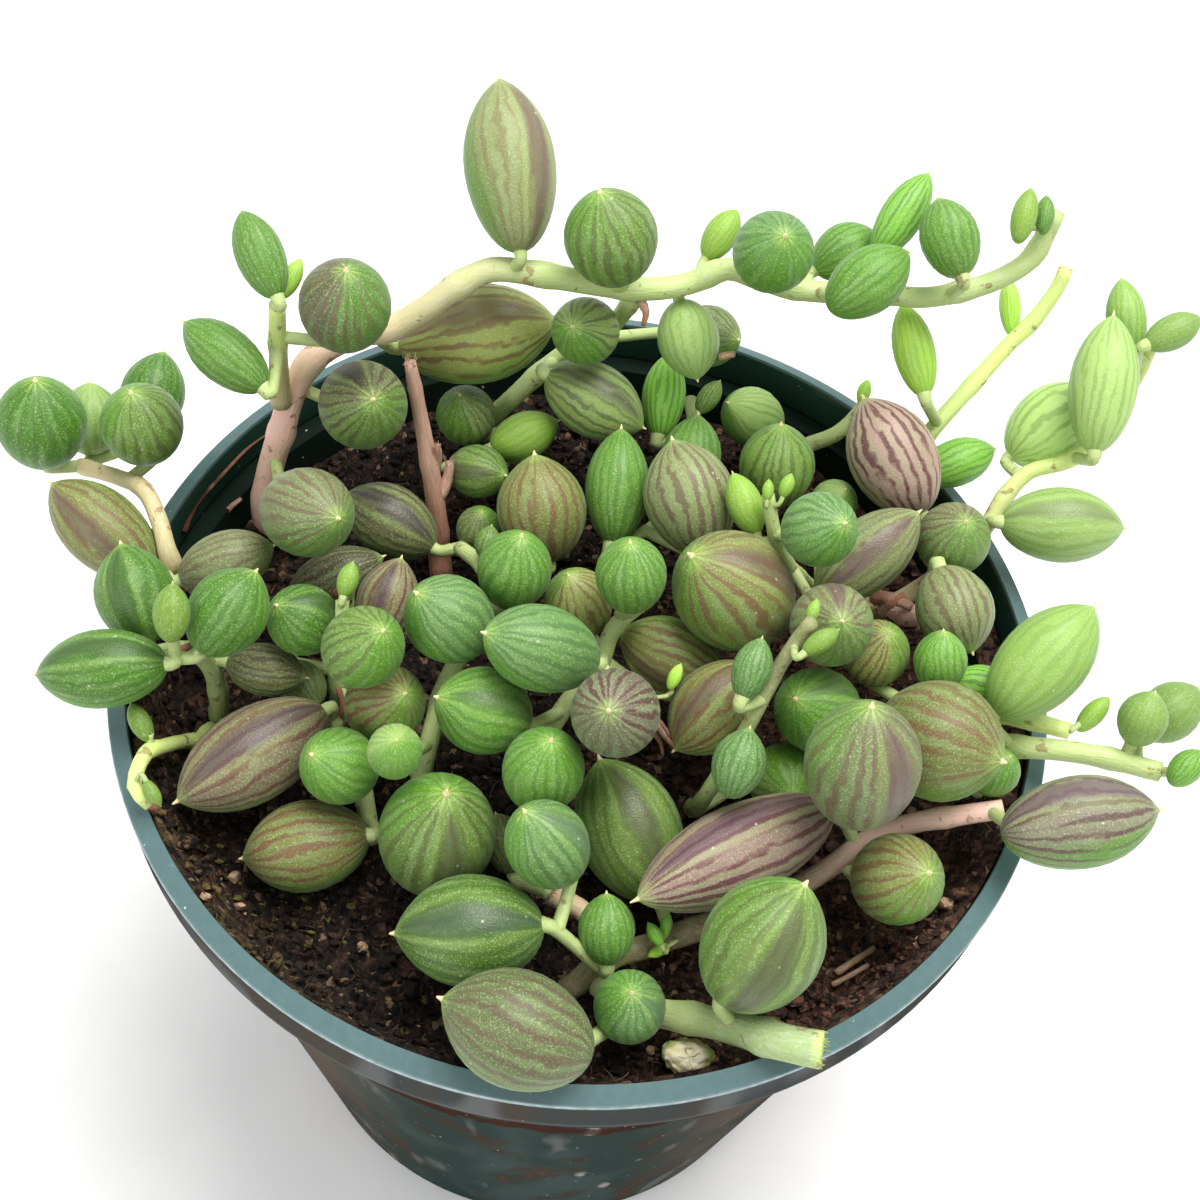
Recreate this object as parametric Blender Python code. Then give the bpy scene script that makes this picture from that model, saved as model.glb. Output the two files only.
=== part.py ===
"""Potted string of watermelons: a trailing succulent with round pointed leaves in a thin nursery pot.

The origin is the centre of the pot's underside, +Z is up and the front of the pot is -Y.
Sizes are in metres. The plant is laid out as seen from one eye point: each leaf and each bend
of a stem has its place across and down in that view, and its lift over the pot's rim.
"""

import math
from collections import namedtuple

import bmesh
import bpy
import numpy as np

MM = 0.001

# Pot: a thin tapered wall under a set-out skirt, whose lip slopes down to its outer edge
RIM_HEIGHT = 0.086
RIM_RADIUS = 0.050
LIP_WIDTH = 0.0020
LIP_RISE = 0.0008
LIP_ROUND = 0.0003
SKIRT_HEIGHT = 0.0062
SKIRT_DRAFT = 0.0003
BODY_TOP_RADIUS = 0.0470
BASE_RADIUS = 0.034
BASE_ROUND = 0.0015
WALL = 0.0012
FLOOR = 0.0016
POT_SIDES = 40
DRAIN_HOLES = 6
DRAIN_RADIUS = 0.0032
DRAIN_CIRCLE = 0.024
DRAIN_SIDES = 10

# Soil
SOIL_BELOW_RIM = 0.009
SOIL_GAP = 0.0004
SOIL_RINGS = 5
SOIL_SPOKES = 24
SOIL_WAVE = 0.0004
# Each wave over the soil runs this many radians a metre along X and along Y
SOIL_WAVES = ((310, 0), (0, 270), (190, 190))
HOLE_GAP = 0.0005
ROOT_DEPTH = 0.0045
ROOT_RISE = 0.0010
HOLE_SIDES = 6

# The lump of perlite on the soil
LUMP_ACROSS = 687
LUMP_DOWN = 1058
LUMP_WIDE = 0.0053
LUMP_LONG = 0.0038
LUMP_HIGH = 0.0036
LUMP_DENT = 0.07
LUMP_DENTS_ACROSS = (13, 11, 9)

# Colours, as linear red, green and blue
POT_COLOUR = (0.035, 0.095, 0.085)
PEAT_COLOUR = (0.016, 0.010, 0.007)
LEAF_COLOUR = (0.11, 0.27, 0.06)
SEEDLING_COLOUR = (0.22, 0.42, 0.08)
STALK_COLOUR = (0.38, 0.20, 0.13)
PERLITE_COLOUR = (0.62, 0.56, 0.36)

# The view that the plant is laid out in
EYE = np.array((0.0, -0.108, RIM_HEIGHT + 0.160))
AIM = np.array((0.001, 0.007, RIM_HEIGHT))
ROLL = math.radians(7.2)
FRAME = 1200
FOCAL = 1.5 * FRAME

# Leaves and stems
LONG = 1.25
LEAF_SIDES = 6
LEAF_RINGS = (0.07, 0.30, 0.66, 0.91)
SMALL_LEAF = 60
SMALL_LEAF_RINGS = (0.12, 0.48, 0.86)
TAIL_FULLNESS = 0.52
TIP_FULLNESS = 0.74
MUCRO = 1.07
STEM_SIDES = 5
STEM_STEP = 0.0052
STALK_RADIUS = 0.00062
SHOOT_RADIUS = 0.0009
STALK_SIDES = 4
STALK_LEAD = 0.0012
STALK_SINK = 0.0008
SHARP_ANGLE = 40
UNION_SOLVER = "MANIFOLD"

# How the leaves are settled clear of one another and how their stalks are led past them
CLEAR = 0.0004
SWAY = 0.0006
SHARE = 0.45
DEPTH_SHARE = 0.6
BALL_SHARES = (0.12, 0.3, 0.5, 0.7, 0.88)
BALLS = len(BALL_SHARES)
SETTLE_ROUNDS = 140
DENSE_STEP = 0.0012
JOINTS_TRIED = 14
SWINGS = (0.0, 0.25, 0.5)
SWING_SIDES = 6
CROSSING_COST = 30

Leaf = namedtuple("Leaf", "across down tip_across tip_down wide lift nod", defaults=(0,))
Run = namedtuple("Run", "wide thin route")
Stem = namedtuple("Stem", "name runs leaves")

# A run of stem is how thick both ends are, in millimetres, and its bends: across, down, and lift in millimetres.
# A leaf is its middle, its tip, how wide it looks, its lift, and how far its tip nods towards the eye.
STEMS = (
    Stem(
        "leafy_stem_back_arch",
        (
            Run(3.1, 2.2, (
                (274, 536, -10), (264, 512, -5), (270, 470, 0), (282, 430, 6), (292, 395, 10),
                (312, 360, 14), (350, 337, 16), (400, 325, 18), (440, 298, 21), (490, 270, 24),
                (560, 278, 23), (640, 289, 21), (690, 283, 21), (720, 268, 23), (796, 289, 21),
                (895, 295, 21), (941, 296, 21), (1013, 273, 23), (1037, 249, 25), (1056, 212, 29),
            )),
            Run(2.3, 1.7, ((281, 402, 10), (278, 350, 19), (277, 305, 27))),
            Run(2.4, 2.0, (
                (470, 440, -10), (502, 408, -1), (560, 356, 5), (600, 338, 9), (640, 291, 20.5),
            )),
        ),
        (
            Leaf(225, 355, 184, 322, 58, 21.5),
            Leaf(261, 256, 243, 212, 50, 31),
            Leaf(290, 278, 300, 258, 20, 28),
            Leaf(345, 305, 346, 271, 93, 27),
            Leaf(363, 405, 373, 400, 89, 14),
            Leaf(304, 517, 334, 523, 90, 12),
            Leaf(510, 166, 500, 79, 93, 32),
            Leaf(608, 242, 597, 198, 95, 27),
            Leaf(482, 337, 561, 324, 99, 12),
            Leaf(588, 331, 575, 327, 68, 14),
            Leaf(592, 405, 640, 432, 74, 6),
            Leaf(688, 334, 697, 374, 62, 16),
            Leaf(708, 336, 738, 340, 62, 8),
            Leaf(769, 256, 781, 240, 82, 26),
            Leaf(722, 236, 738, 211, 34, 24),
            Leaf(850, 252, 880, 232, 56, 24),
            Leaf(905, 220, 932, 178, 44, 28),
            Leaf(868, 279, 908, 250, 66, 26),
            Leaf(944, 238, 932, 198, 60, 28),
            Leaf(1028, 218, 1035, 190, 26, 30),
            Leaf(1050, 217, 1052, 197, 20, 29),
        ),
    ),
    Stem(
        "leafy_stem_left_edge",
        (
            Run(2.2, 1.7, (
                (224, 606, -10), (195, 585, -2), (173, 565, 4), (165, 540, 6), (156, 512, 7),
                (144, 490, 7), (120, 478, 5), (80, 466, 3),
            )),
        ),
        (
            Leaf(47, 421, 41, 380, 89, 10),
            Leaf(92, 424, 92, 388, 62, 5),
            Leaf(141, 427, 130, 396, 82, 11),
            Leaf(147, 395, 159, 352, 64, 6),
            Leaf(108, 527, 57, 481, 78, 6),
            Leaf(225, 557, 272, 540, 64, 7),
        ),
    ),
    Stem(
        "leafy_stem_left_rim",
        (
            Run(2.3, 1.7, ((220, 722, -10), (219, 700, -5), (214, 675, 0), (200, 655, 5), (174, 648, 8))),
        ),
        (
            Leaf(134, 596, 120, 546, 80, 9),
            Leaf(104, 665, 38, 671, 80, 9),
            Leaf(234, 610, 262, 570, 80, 12),
            Leaf(178, 613, 179, 583, 38, 13),
            Leaf(272, 668, 312, 676, 54, 0),
        ),
    ),
    Stem(
        "leafy_stem_left_middle",
        (
            Run(2.2, 1.7, (
                (338, 725, -10), (338, 690, -4), (340, 640, 1), (345, 600, 6), (347, 585, 12),
            )),
        ),
        (
            Leaf(301, 614, 275, 600, 72, 8),
            Leaf(308, 685, 322, 705, 48, -1),
            Leaf(340, 575, 387, 553, 60, 0),
            Leaf(384, 598, 398, 555, 62, 2),
            Leaf(369, 649, 389, 633, 82, 10),
            Leaf(348, 580, 353, 562, 22, 15),
            Leaf(385, 710, 405, 700, 80, 3),
        ),
    ),
    Stem(
        "leafy_stem_centre_left",
        (
            Run(2.2, 1.7, (
                (418, 796, -10), (423, 768, -2), (431, 735, 2), (440, 700, 3), (456, 662, 5),
                (480, 630, 6), (492, 600, 6), (484, 568, 4), (460, 548, 1),
            )),
        ),
        (
            Leaf(399, 756, 401, 745, 56, 8),
            Leaf(445, 619, 413, 594, 88, 12),
            Leaf(514, 575, 521, 542, 75, 13),
            Leaf(487, 548, 491, 531, 26, 6),
            Leaf(479, 529, 482, 512, 46, 0),
            Leaf(390, 525, 346, 498, 72, 2),
        ),
    ),
    Stem(
        "leafy_stem_centre",
        (
            Run(2.3, 1.7, (
                (532, 776, -10), (545, 740, -3), (568, 702, 1), (598, 668, 4), (620, 614, 8),
                (640, 604, 8),
            )),
            Run(2.0, 1.6, ((600, 664, 4), (640, 684, -1), (700, 694, -3), (745, 664, -1), (768, 635, 1))),
        ),
        (
            Leaf(575, 606, 565, 579, 68, 8),
            Leaf(544, 769, 552, 740, 83, 8),
            Leaf(488, 713, 443, 700, 88, 10),
            Leaf(537, 653, 482, 638, 88, 14, 40),
            Leaf(637, 574, 636, 542, 72, 14),
            Leaf(613, 716, 606, 714, 90, 15),
            Leaf(667, 660, 617, 637, 76, 3),
            Leaf(731, 596, 690, 562, 118, 10),
            Leaf(712, 703, 673, 744, 84, 4),
            Leaf(680, 680, 686, 667, 14, 6),
        ),
    ),
    Stem(
        "leafy_stem_front_left",
        (
            Run(2.3, 1.7, (
                (372, 842, -10), (368, 820, -6), (362, 790, -4), (352, 760, -3), (340, 730, -1),
            )),
        ),
        (
            Leaf(256, 750, 182, 795, 95, 0, 30),
            Leaf(312, 846, 249, 858, 92, -3),
            Leaf(341, 769, 314, 758, 78, 4),
            Leaf(431, 834, 440, 794, 118, 2),
        ),
    ),
    Stem(
        "leafy_stem_front",
        (
            Run(2.6, 2.0, (
                (568, 996, -10), (580, 980, -6), (608, 958, -5), (661, 942, -5), (715, 921, -5),
                (780, 895, -4), (823, 872, -3), (892, 829, 0), (1003, 809, 3),
            )),
            Run(2.6, 3.5, (
                (598, 982, -6.5), (640, 1008, -5.5), (700, 1020, -3), (745, 1031, 0.6),
                (775, 1040, 3.2), (800, 1046, 3.8), (822, 1050, 4.2),
            )),
            Run(2.0, 2.2, ((608, 950, -5), (586, 914, -4), (551, 894, -3))),
        ),
        (
            Leaf(634, 832, 605, 762, 106, 5),
            Leaf(542, 848, 520, 816, 84, 6),
            Leaf(470, 924, 395, 927, 112, 1),
            Leaf(518, 1022, 443, 992, 118, 1),
            Leaf(609, 929, 609, 893, 58, 2),
            Leaf(630, 1006, 632, 992, 73, 0),
            Leaf(740, 858, 644, 903, 94, 5, 60),
            Leaf(765, 950, 806, 892, 122, 1),
            Leaf(894, 874, 925, 868, 92, 2),
            Leaf(869, 764, 878, 708, 118, 11),
            Leaf(1080, 822, 1159, 808, 94, 8),
            Leaf(500, 845, 490, 815, 46, -4),
            Leaf(664, 925, 667, 912, 12, -1),
            Leaf(656, 933, 649, 921, 14, -1),
            Leaf(659, 950, 648, 956, 12, -3),
        ),
    ),
    Stem(
        "leafy_stem_young_shoot",
        (
            Run(1.8, 1.4, (
                (690, 815, -10), (701, 802, -3), (728, 760, 5), (747, 728, 9), (762, 700, 12),
                (780, 665, 15), (800, 636, 18), (812, 622, 20),
            )),
        ),
        (
            Leaf(812, 617, 816, 605, 13, 20),
            Leaf(818, 636, 836, 624, 22, 19),
            Leaf(758, 671, 768, 640, 40, 15),
            Leaf(739, 768, 750, 733, 54, 11),
            Leaf(790, 785, 796, 802, 76, 0),
            Leaf(822, 708, 800, 697, 86, 6),
        ),
    ),
    Stem(
        "leafy_stem_right_bud",
        (
            Run(1.9, 1.4, (
                (830, 600, -10), (812, 588, -3), (787, 562, 8), (775, 535, 12), (769, 505, 15),
                (768, 495, 16),
            )),
        ),
        (
            Leaf(745, 507, 733, 476, 36, 13),
            Leaf(768, 492, 769, 481, 12, 17),
            Leaf(786, 486, 791, 474, 15, 17),
            Leaf(815, 533, 840, 527, 76, 13),
            Leaf(865, 550, 915, 508, 72, 10),
            Leaf(826, 623, 836, 620, 84, 13),
            Leaf(838, 500, 850, 486, 48, 3),
        ),
    ),
    Stem(
        "leafy_stem_back_middle",
        (
            Run(2.2, 1.7, ((560, 560, -10), (545, 540, -4), (530, 470, -2), (510, 430, -2))),
        ),
        (
            Leaf(471, 416, 465, 396, 60, 3),
            Leaf(522, 440, 556, 425, 48, 2),
            Leaf(473, 472, 500, 476, 54, 2),
            Leaf(547, 509, 540, 455, 90, 5),
        ),
    ),
    Stem(
        "leafy_stem_back_right",
        (
            Run(2.2, 1.7, (
                (700, 540, -10), (705, 520, -5), (715, 480, -2), (700, 440, 0), (690, 400, 0),
            )),
        ),
        (
            Leaf(662, 397, 667, 355, 44, 6),
            Leaf(618, 484, 622, 426, 64, 7),
            Leaf(684, 498, 667, 441, 92, 8),
            Leaf(690, 455, 697, 414, 60, 4),
            Leaf(709, 397, 720, 381, 22, 4),
        ),
    ),
    Stem(
        "leafy_stem_back_edge",
        (
            Run(2.2, 1.7, (
                (778, 486, -10), (790, 465, -5), (809, 442, -2), (852, 428, 1), (866, 400, 3),
            )),
        ),
        (
            Leaf(752, 417, 728, 403, 60, 0),
            Leaf(777, 465, 781, 425, 76, 4),
            Leaf(866, 394, 870, 382, 14, 4),
        ),
    ),
    Stem(
        "leafy_stem_right_upper",
        (
            Run(2.0, 1.5, (
                (884, 572, -10), (897, 522, -4), (915, 460, 2), (932, 430, 6), (965, 393, 9),
                (1010, 343, 13), (1048, 305, 17), (1066, 268, 21),
            )),
        ),
        (
            Leaf(914, 350, 903, 303, 42, 15),
            Leaf(1014, 310, 1012, 280, 22, 15),
            Leaf(897, 460, 868, 402, 88, 9),
            Leaf(962, 461, 1000, 447, 48, 3),
        ),
    ),
    Stem(
        "leafy_stem_right_middle",
        (
            Run(2.1, 1.6, (
                (868, 612, -10), (888, 606, -4), (925, 584, -1), (960, 556, 1.5), (984, 530, 3),
                (1021, 477, 7), (1075, 458, 9), (1101, 431, 10), (1136, 378, 14), (1150, 348, 18),
            )),
            Run(1.8, 2.6, ((888, 606, -4.5), (905, 616, -1), (926, 613, 1.5))),
        ),
        (
            Leaf(948, 541, 961, 524, 74, 7),
            Leaf(958, 615, 975, 657, 78, 3),
            Leaf(1053, 430, 1096, 397, 80, 11),
            Leaf(1098, 385, 1108, 316, 68, 17),
            Leaf(1131, 322, 1126, 281, 40, 20),
            Leaf(1172, 332, 1200, 318, 36, 22),
            Leaf(1062, 525, 1124, 528, 76, 8),
        ),
    ),
    Stem(
        "leafy_stem_right_low",
        (
            Run(2.3, 1.7, (
                (930, 770, -10), (950, 755, -5), (980, 745, 0), (1010, 746, 4), (1088, 754, 6),
                (1160, 772, 6),
            )),
            Run(2.3, 1.7, ((962, 751, -3.5), (972, 728, 0), (1002, 715, 3), (1069, 731, 5))),
        ),
        (
            Leaf(1141, 724, 1153, 698, 50, 9),
            Leaf(1170, 712, 1198, 688, 58, 7),
            Leaf(1180, 767, 1196, 750, 32, 8),
            Leaf(1088, 717, 1104, 700, 22, 6),
            Leaf(1038, 663, 1088, 609, 86, 10),
            Leaf(940, 735, 1000, 755, 122, 8),
            Leaf(985, 682, 1014, 687, 44, 5),
            Leaf(1000, 775, 1015, 760, 50, 1),
            Leaf(877, 655, 890, 635, 66, 9),
            Leaf(937, 660, 940, 630, 54, 6),
        ),
    ),
    Stem(
        "seedling",
        (
            Run(1.5, 1.5, (
                (212, 738, -10), (192, 740, -5), (160, 747, 1.5), (140, 758, 3.6), (131, 775, 3.8),
                (140, 795, 3), (150, 804, 2),
            )),
        ),
        (
            Leaf(142, 727, 132, 708, 22, 4),
            Leaf(147, 795, 155, 808, 14, 3.5),
        ),
    ),
    Stem(
        "dry_stalk",
        (
            Run(2.9, 1.0, ((441, 580, -10), (433, 500, 1), (422, 430, 9), (410, 362, 17))),
            Run(1.6, 0.9, ((436, 500, 1), (447, 480, 3), (450, 462, 5))),
            Run(1.3, 0.8, ((431, 480, 3), (438, 458, 6), (437, 446, 8))),
        ),
        (),
    ),
)


def unit(vector):
    return vector / np.linalg.norm(vector)


def view_axes():
    """The view's own right, down and forward directions."""
    forward = unit(AIM - EYE)
    right = unit(np.cross(forward, (0.0, 0.0, 1.0)))
    down = np.cross(forward, right)
    return (
        right * math.cos(ROLL) - down * math.sin(ROLL),
        right * math.sin(ROLL) + down * math.cos(ROLL),
        forward,
    )


RIGHT, DOWN, FORWARD = view_axes()


def seen(across, down, lift):
    """The point at this lift, in metres over the rim, that the view shows at this place."""
    ray = FORWARD * FOCAL + RIGHT * (across - FRAME / 2) + DOWN * (down - FRAME / 2)
    return EYE + ray * ((RIM_HEIGHT + lift - EYE[2]) / ray[2])


def leaf_shape(leaf, middle):
    """The half of a leaf's length that runs from its middle to its tip, and its radius."""
    scale = (middle - EYE) @ FORWARD / FOCAL
    radius = 0.5 * leaf.wide * scale
    lean = (RIGHT * (leaf.tip_across - leaf.across) + DOWN * (leaf.tip_down - leaf.down)) * scale
    nod = max(leaf.nod * scale, math.sqrt(max(0.0, (LONG * radius) ** 2 - lean @ lean)))
    return lean + unit(EYE - middle) * nod, radius


def fullness(along):
    """The leaf's radius from 0 at its tail to 1 at its tip, as a share of its widest."""
    power = TAIL_FULLNESS + (TIP_FULLNESS - TAIL_FULLNESS) * along
    return (1 - (2 * along - 1) ** 2) ** power


def leaf_balls(leaf, middle):
    """Balls that stand for the leaf while the leaves are settled: their centres and radii."""
    half, radius = leaf_shape(leaf, middle)
    centres = np.array([middle + half * (2 * share - 1) for share in BALL_SHARES])
    return centres, np.array([radius * fullness(share) for share in BALL_SHARES])


def smooth_route(points, step):
    """Points every step along a smooth curve through the given ones."""
    points = [np.asarray(point, float) for point in points]
    ends = [2 * points[0] - points[1]] + points + [2 * points[-1] - points[-2]]
    route = []
    for before, start, end, after in zip(ends, ends[1:], ends[2:], ends[3:]):
        count = max(1, round(np.linalg.norm(end - start) / step))
        for share in np.arange(count) / count:
            route.append(
                0.5 * (
                    2 * start
                    + (end - before) * share
                    + (2 * before - 5 * start + 4 * end - after) * share ** 2
                    + (3 * start - before - 3 * end + after) * share ** 3
                )
            )
    return route + [points[-1]]


def run_route(run, step):
    return smooth_route([seen(across, down, lift * MM) for across, down, lift in run.route], step)


def run_balls(run):
    """Points close together along a run, and the run's radius at each."""
    points = np.array(run_route(run, DENSE_STEP))
    return points, np.linspace(0.5 * run.wide * MM, 0.5 * run.thin * MM, len(points))


def wall_radius(height):
    """The inside radius of the pot's wall at this height."""
    shelf = RIM_HEIGHT - SKIRT_HEIGHT + WALL
    if height > shelf:
        return RIM_RADIUS - LIP_WIDTH
    return BASE_RADIUS - WALL + (BODY_TOP_RADIUS - BASE_RADIUS) * max(0.0, height) / shelf


def soil_height(x, y):
    wave = sum(math.sin(along * x + across * y + 1) for along, across in SOIL_WAVES) / len(SOIL_WAVES)
    return RIM_HEIGHT - SOIL_BELOW_RIM + SOIL_WAVE * wave


def rise_for_pot(centre, radius):
    """How far up a ball goes to clear the soil and the pot's lip."""
    x, y, z = centre
    reach = math.hypot(x, y)
    inner = RIM_RADIUS - LIP_WIDTH
    rises = [0.0]
    if reach < inner:
        rises.append(soil_height(x, y) + CLEAR + radius - z)
    if reach + radius + CLEAR > inner and reach < RIM_RADIUS + radius:
        beside = 0.0 if inner < reach < RIM_RADIUS else min(abs(reach - inner), abs(reach - RIM_RADIUS))
        drop = math.sqrt(max(0.0, radius ** 2 - beside ** 2))
        rises.append(RIM_HEIGHT + LIP_RISE + CLEAR + drop - z)
    return max(rises)


def settle(stems):
    """Each leaf's middle, moved until no leaf shares space with another, the soil, the pot or a run of stem.

    A leaf moves mostly along its sight line, so that it is still seen where it was laid out.
    """
    leaves = [leaf for stem in stems for leaf in stem.leaves]
    owners = [stem.name for stem in stems for _ in stem.leaves]
    runs = [(stem.name, *run_balls(run)) for stem in stems for run in stem.runs]
    places = np.array([seen(leaf.across, leaf.down, leaf.lift * MM) for leaf in leaves])
    sights = np.array([unit(place - EYE) for place in places])
    ball_leaf = np.repeat(np.arange(len(leaves)), BALLS)
    for _ in range(SETTLE_ROUNDS):
        shapes = [leaf_balls(leaf, place) for leaf, place in zip(leaves, places)]
        centres = np.concatenate([shape[0] for shape in shapes])
        radii = np.concatenate([shape[1] for shape in shapes])
        depth = (places - EYE) @ FORWARD
        gaps = np.linalg.norm(centres[:, None] - centres[None], axis=2)
        shared = radii[:, None] + radii[None] + CLEAR - gaps
        shared[ball_leaf[:, None] >= ball_leaf[None]] = 0
        moves = np.zeros(places.shape)
        meeting = {(ball_leaf[i], ball_leaf[j]) for i, j in zip(*np.nonzero(shared > 0))}
        for first, second in sorted(meeting):
            block = shared[first * BALLS:(first + 1) * BALLS, second * BALLS:(second + 1) * BALLS]
            i, j = np.unravel_index(block.argmax(), block.shape)
            apart = unit(centres[first * BALLS + i] - centres[second * BALLS + j])
            towards = -FORWARD if depth[first] < depth[second] else FORWARD
            move = SHARE * block.max() * unit(apart + DEPTH_SHARE * towards)
            moves[first] += move
            moves[second] -= move
        for index in range(len(leaves)):
            balls, sizes = shapes[index]
            for owner, points, thick in runs:
                start = 1 if owner == owners[index] else 0
                away = balls[start:, None] - points[None]
                over = sizes[start:, None] + thick[None] + CLEAR - np.linalg.norm(away, axis=2)
                if over.max() > 0:
                    i, j = np.unravel_index(over.argmax(), over.shape)
                    moves[index] += SHARE * over.max() * unit(away[i, j])
        places += moves
        for index, leaf in enumerate(leaves):
            rise = max(rise_for_pot(*ball) for ball in zip(*leaf_balls(leaf, places[index])))
            along = (places[index] - EYE) @ sights[index]
            aside = places[index] - EYE - along * sights[index]
            aside *= min(1.0, SWAY / max(np.linalg.norm(aside), SWAY / 2))
            places[index] = EYE + (along + rise / sights[index][2]) * sights[index] + aside
    return dict(zip(leaves, places))


def new_collection(name):
    collection = bpy.data.collections.new(name)
    bpy.context.scene.collection.children.link(collection)
    return collection


def new_object(name, shape, collection=None):
    """An object of this bmesh, faces out, shaded smooth except at real edges."""
    bmesh.ops.recalc_face_normals(shape, faces=shape.faces)
    mesh = bpy.data.meshes.new(name)
    shape.to_mesh(mesh)
    shape.free()
    mesh.shade_smooth()
    mesh.set_sharp_from_angle(angle=math.radians(SHARP_ANGLE))
    thing = bpy.data.objects.new(name, mesh)
    (collection or bpy.context.scene.collection).objects.link(thing)
    return thing


def skin_rings(shape, rings):
    """Joins rings of points, each of the same length or a single point, into one closed skin."""
    made = [[shape.verts.new(point) for point in ring] for ring in rings]
    for low, high in zip(made, made[1:]):
        for index in range(max(len(low), len(high))):
            after = index + 1
            corners = [low[index % len(low)], low[after % len(low)]]
            corners += [high[after % len(high)], high[index % len(high)]]
            shape.faces.new(list(dict.fromkeys(corners)))
    for ring in (made[0], made[-1]):
        if len(ring) > 2:
            shape.faces.new(ring)


def sideways(direction):
    """Two directions across this one."""
    helper = np.array((0.0, 0.0, 1.0)) if abs(direction[2]) < 0.9 else np.array((1.0, 0.0, 0.0))
    first = unit(np.cross(helper, direction))
    return first, np.cross(direction, first)


def ring_about(centre, first, second, radius, sides):
    turns = [2 * math.pi * side / sides for side in range(sides)]
    return [centre + radius * (first * math.cos(turn) + second * math.sin(turn)) for turn in turns]


def tube(name, points, radii, sides, collection=None):
    """A closed tube along the points, its rings carried along the bends without twisting."""
    points = [np.asarray(point, float) for point in points]
    first, _ = sideways(unit(points[1] - points[0]))
    rings = []
    for index, (point, radius) in enumerate(zip(points, radii)):
        ahead = unit(points[min(index + 1, len(points) - 1)] - points[max(index - 1, 0)])
        first = unit(first - ahead * (first @ ahead))
        rings.append(ring_about(point, first, np.cross(ahead, first), radius, sides))
    shape = bmesh.new()
    skin_rings(shape, rings)
    return new_object(name, shape, collection)


def leaf_body(name, leaf, middle, collection):
    """One leaf: rings swelling from the tail and drawn in to a point at the tip."""
    half, radius = leaf_shape(leaf, middle)
    first, second = sideways(unit(half))
    rings = [[middle - half]]
    for along in LEAF_RINGS if leaf.wide > SMALL_LEAF else SMALL_LEAF_RINGS:
        centre = middle + half * (2 * along - 1)
        rings.append(ring_about(centre, first, second, radius * fullness(along), LEAF_SIDES))
    rings.append([middle + half * (2 * MUCRO - 1)])
    shape = bmesh.new()
    skin_rings(shape, rings)
    return new_object(name, shape, collection)


def crossing(points, thick, others):
    """How deep a stalk along these points would run into the pot, the soil or the balls of other stems."""
    centres, radii = others
    gaps = np.linalg.norm(points[:, None] - centres[None], axis=2) - radii[None] - thick - CLEAR
    deep = np.maximum(0.0, -gaps).max(axis=1).sum()
    for point in points:
        reach = math.hypot(point[0], point[1])
        if point[2] > RIM_HEIGHT:
            deep += rise_for_pot(point, thick)
        elif reach < RIM_RADIUS:
            deep += max(0.0, soil_height(*point[:2]) + thick + CLEAR - point[2])
            deep += max(0.0, reach + thick + CLEAR - wall_radius(point[2]))
        else:
            deep += max(0.0, RIM_RADIUS + thick + CLEAR - reach)
    return deep


def stalk_route(leaf, middle, grown, others):
    """The shortest bent way from a leaf's tail to what has grown of its stem that runs into nothing else."""
    half, _ = leaf_shape(leaf, middle)
    tail = middle - half
    back = -unit(half)
    lead = tail + back * STALK_LEAD
    nearest = sorted(range(len(grown)), key=lambda index: np.linalg.norm(grown[index] - lead))
    best = None
    for index in nearest[:JOINTS_TRIED]:
        joint = grown[index]
        span = np.linalg.norm(joint - lead)
        if span < STALK_LEAD:
            ways = [[tail, joint]]
        else:
            first, second = sideways((joint - lead) / span)
            ways = []
            for swing in SWINGS:
                for side in range(SWING_SIDES if swing else 1):
                    turn = 2 * math.pi * side / SWING_SIDES
                    aside = (first * math.cos(turn) + second * math.sin(turn)) * swing * span
                    bend = [0.5 * (lead + joint) + aside] if swing else []
                    ways.append([tail, lead, *bend, joint])
        for way in ways:
            points = np.array(smooth_route(way, DENSE_STEP))
            length = np.linalg.norm(np.diff(points, axis=0), axis=1).sum()
            cost = length + CROSSING_COST * crossing(points[:-1], STALK_RADIUS, others)
            if best is None or cost < least:
                least = cost
                best = way
    return best


def grow_stalks(stem, places, others):
    """Ties each leaf to its stem, nearest first, so that a later stalk can fork from an earlier one."""
    grown = [point for run in stem.runs for point in run_route(run, DENSE_STEP)]
    waiting = list(stem.leaves)
    stalks = []
    while waiting:
        tails = {leaf: places[leaf] - leaf_shape(leaf, places[leaf])[0] for leaf in waiting}
        leaf = min(waiting, key=lambda one: min(np.linalg.norm(point - tails[one]) for point in grown))
        waiting.remove(leaf)
        way = stalk_route(leaf, places[leaf], grown, others)
        stalks.append((leaf, way))
        grown += smooth_route(way, DENSE_STEP)[2:]
    return stalks


def rooted(points):
    """The route with its foot turned down into the soil, if it starts there."""
    top = RIM_HEIGHT - SOIL_BELOW_RIM
    start = points[0]
    if start[2] > top:
        return points
    up = np.array((0.0, 0.0, 1.0))
    foot = np.array((start[0], start[1], top))
    ahead = [point for point in points if point[2] > top + 2 * ROOT_RISE]
    return [foot - up * ROOT_DEPTH, foot + up * ROOT_RISE] + ahead


def apply_modifiers(thing):
    mesh = bpy.data.meshes.new_from_object(thing.evaluated_get(bpy.context.evaluated_depsgraph_get()))
    thing.modifiers.clear()
    thing.data = mesh


def join_all(base, collection):
    """One Boolean union of the base with everything in the collection, which is then removed."""
    union = base.modifiers.new("join", "BOOLEAN")
    union.operation = "UNION"
    union.operand_type = "COLLECTION"
    union.collection = collection
    union.solver = UNION_SOLVER
    apply_modifiers(base)
    for thing in list(collection.objects):
        bpy.data.objects.remove(thing)
    bpy.data.collections.remove(collection)


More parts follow.
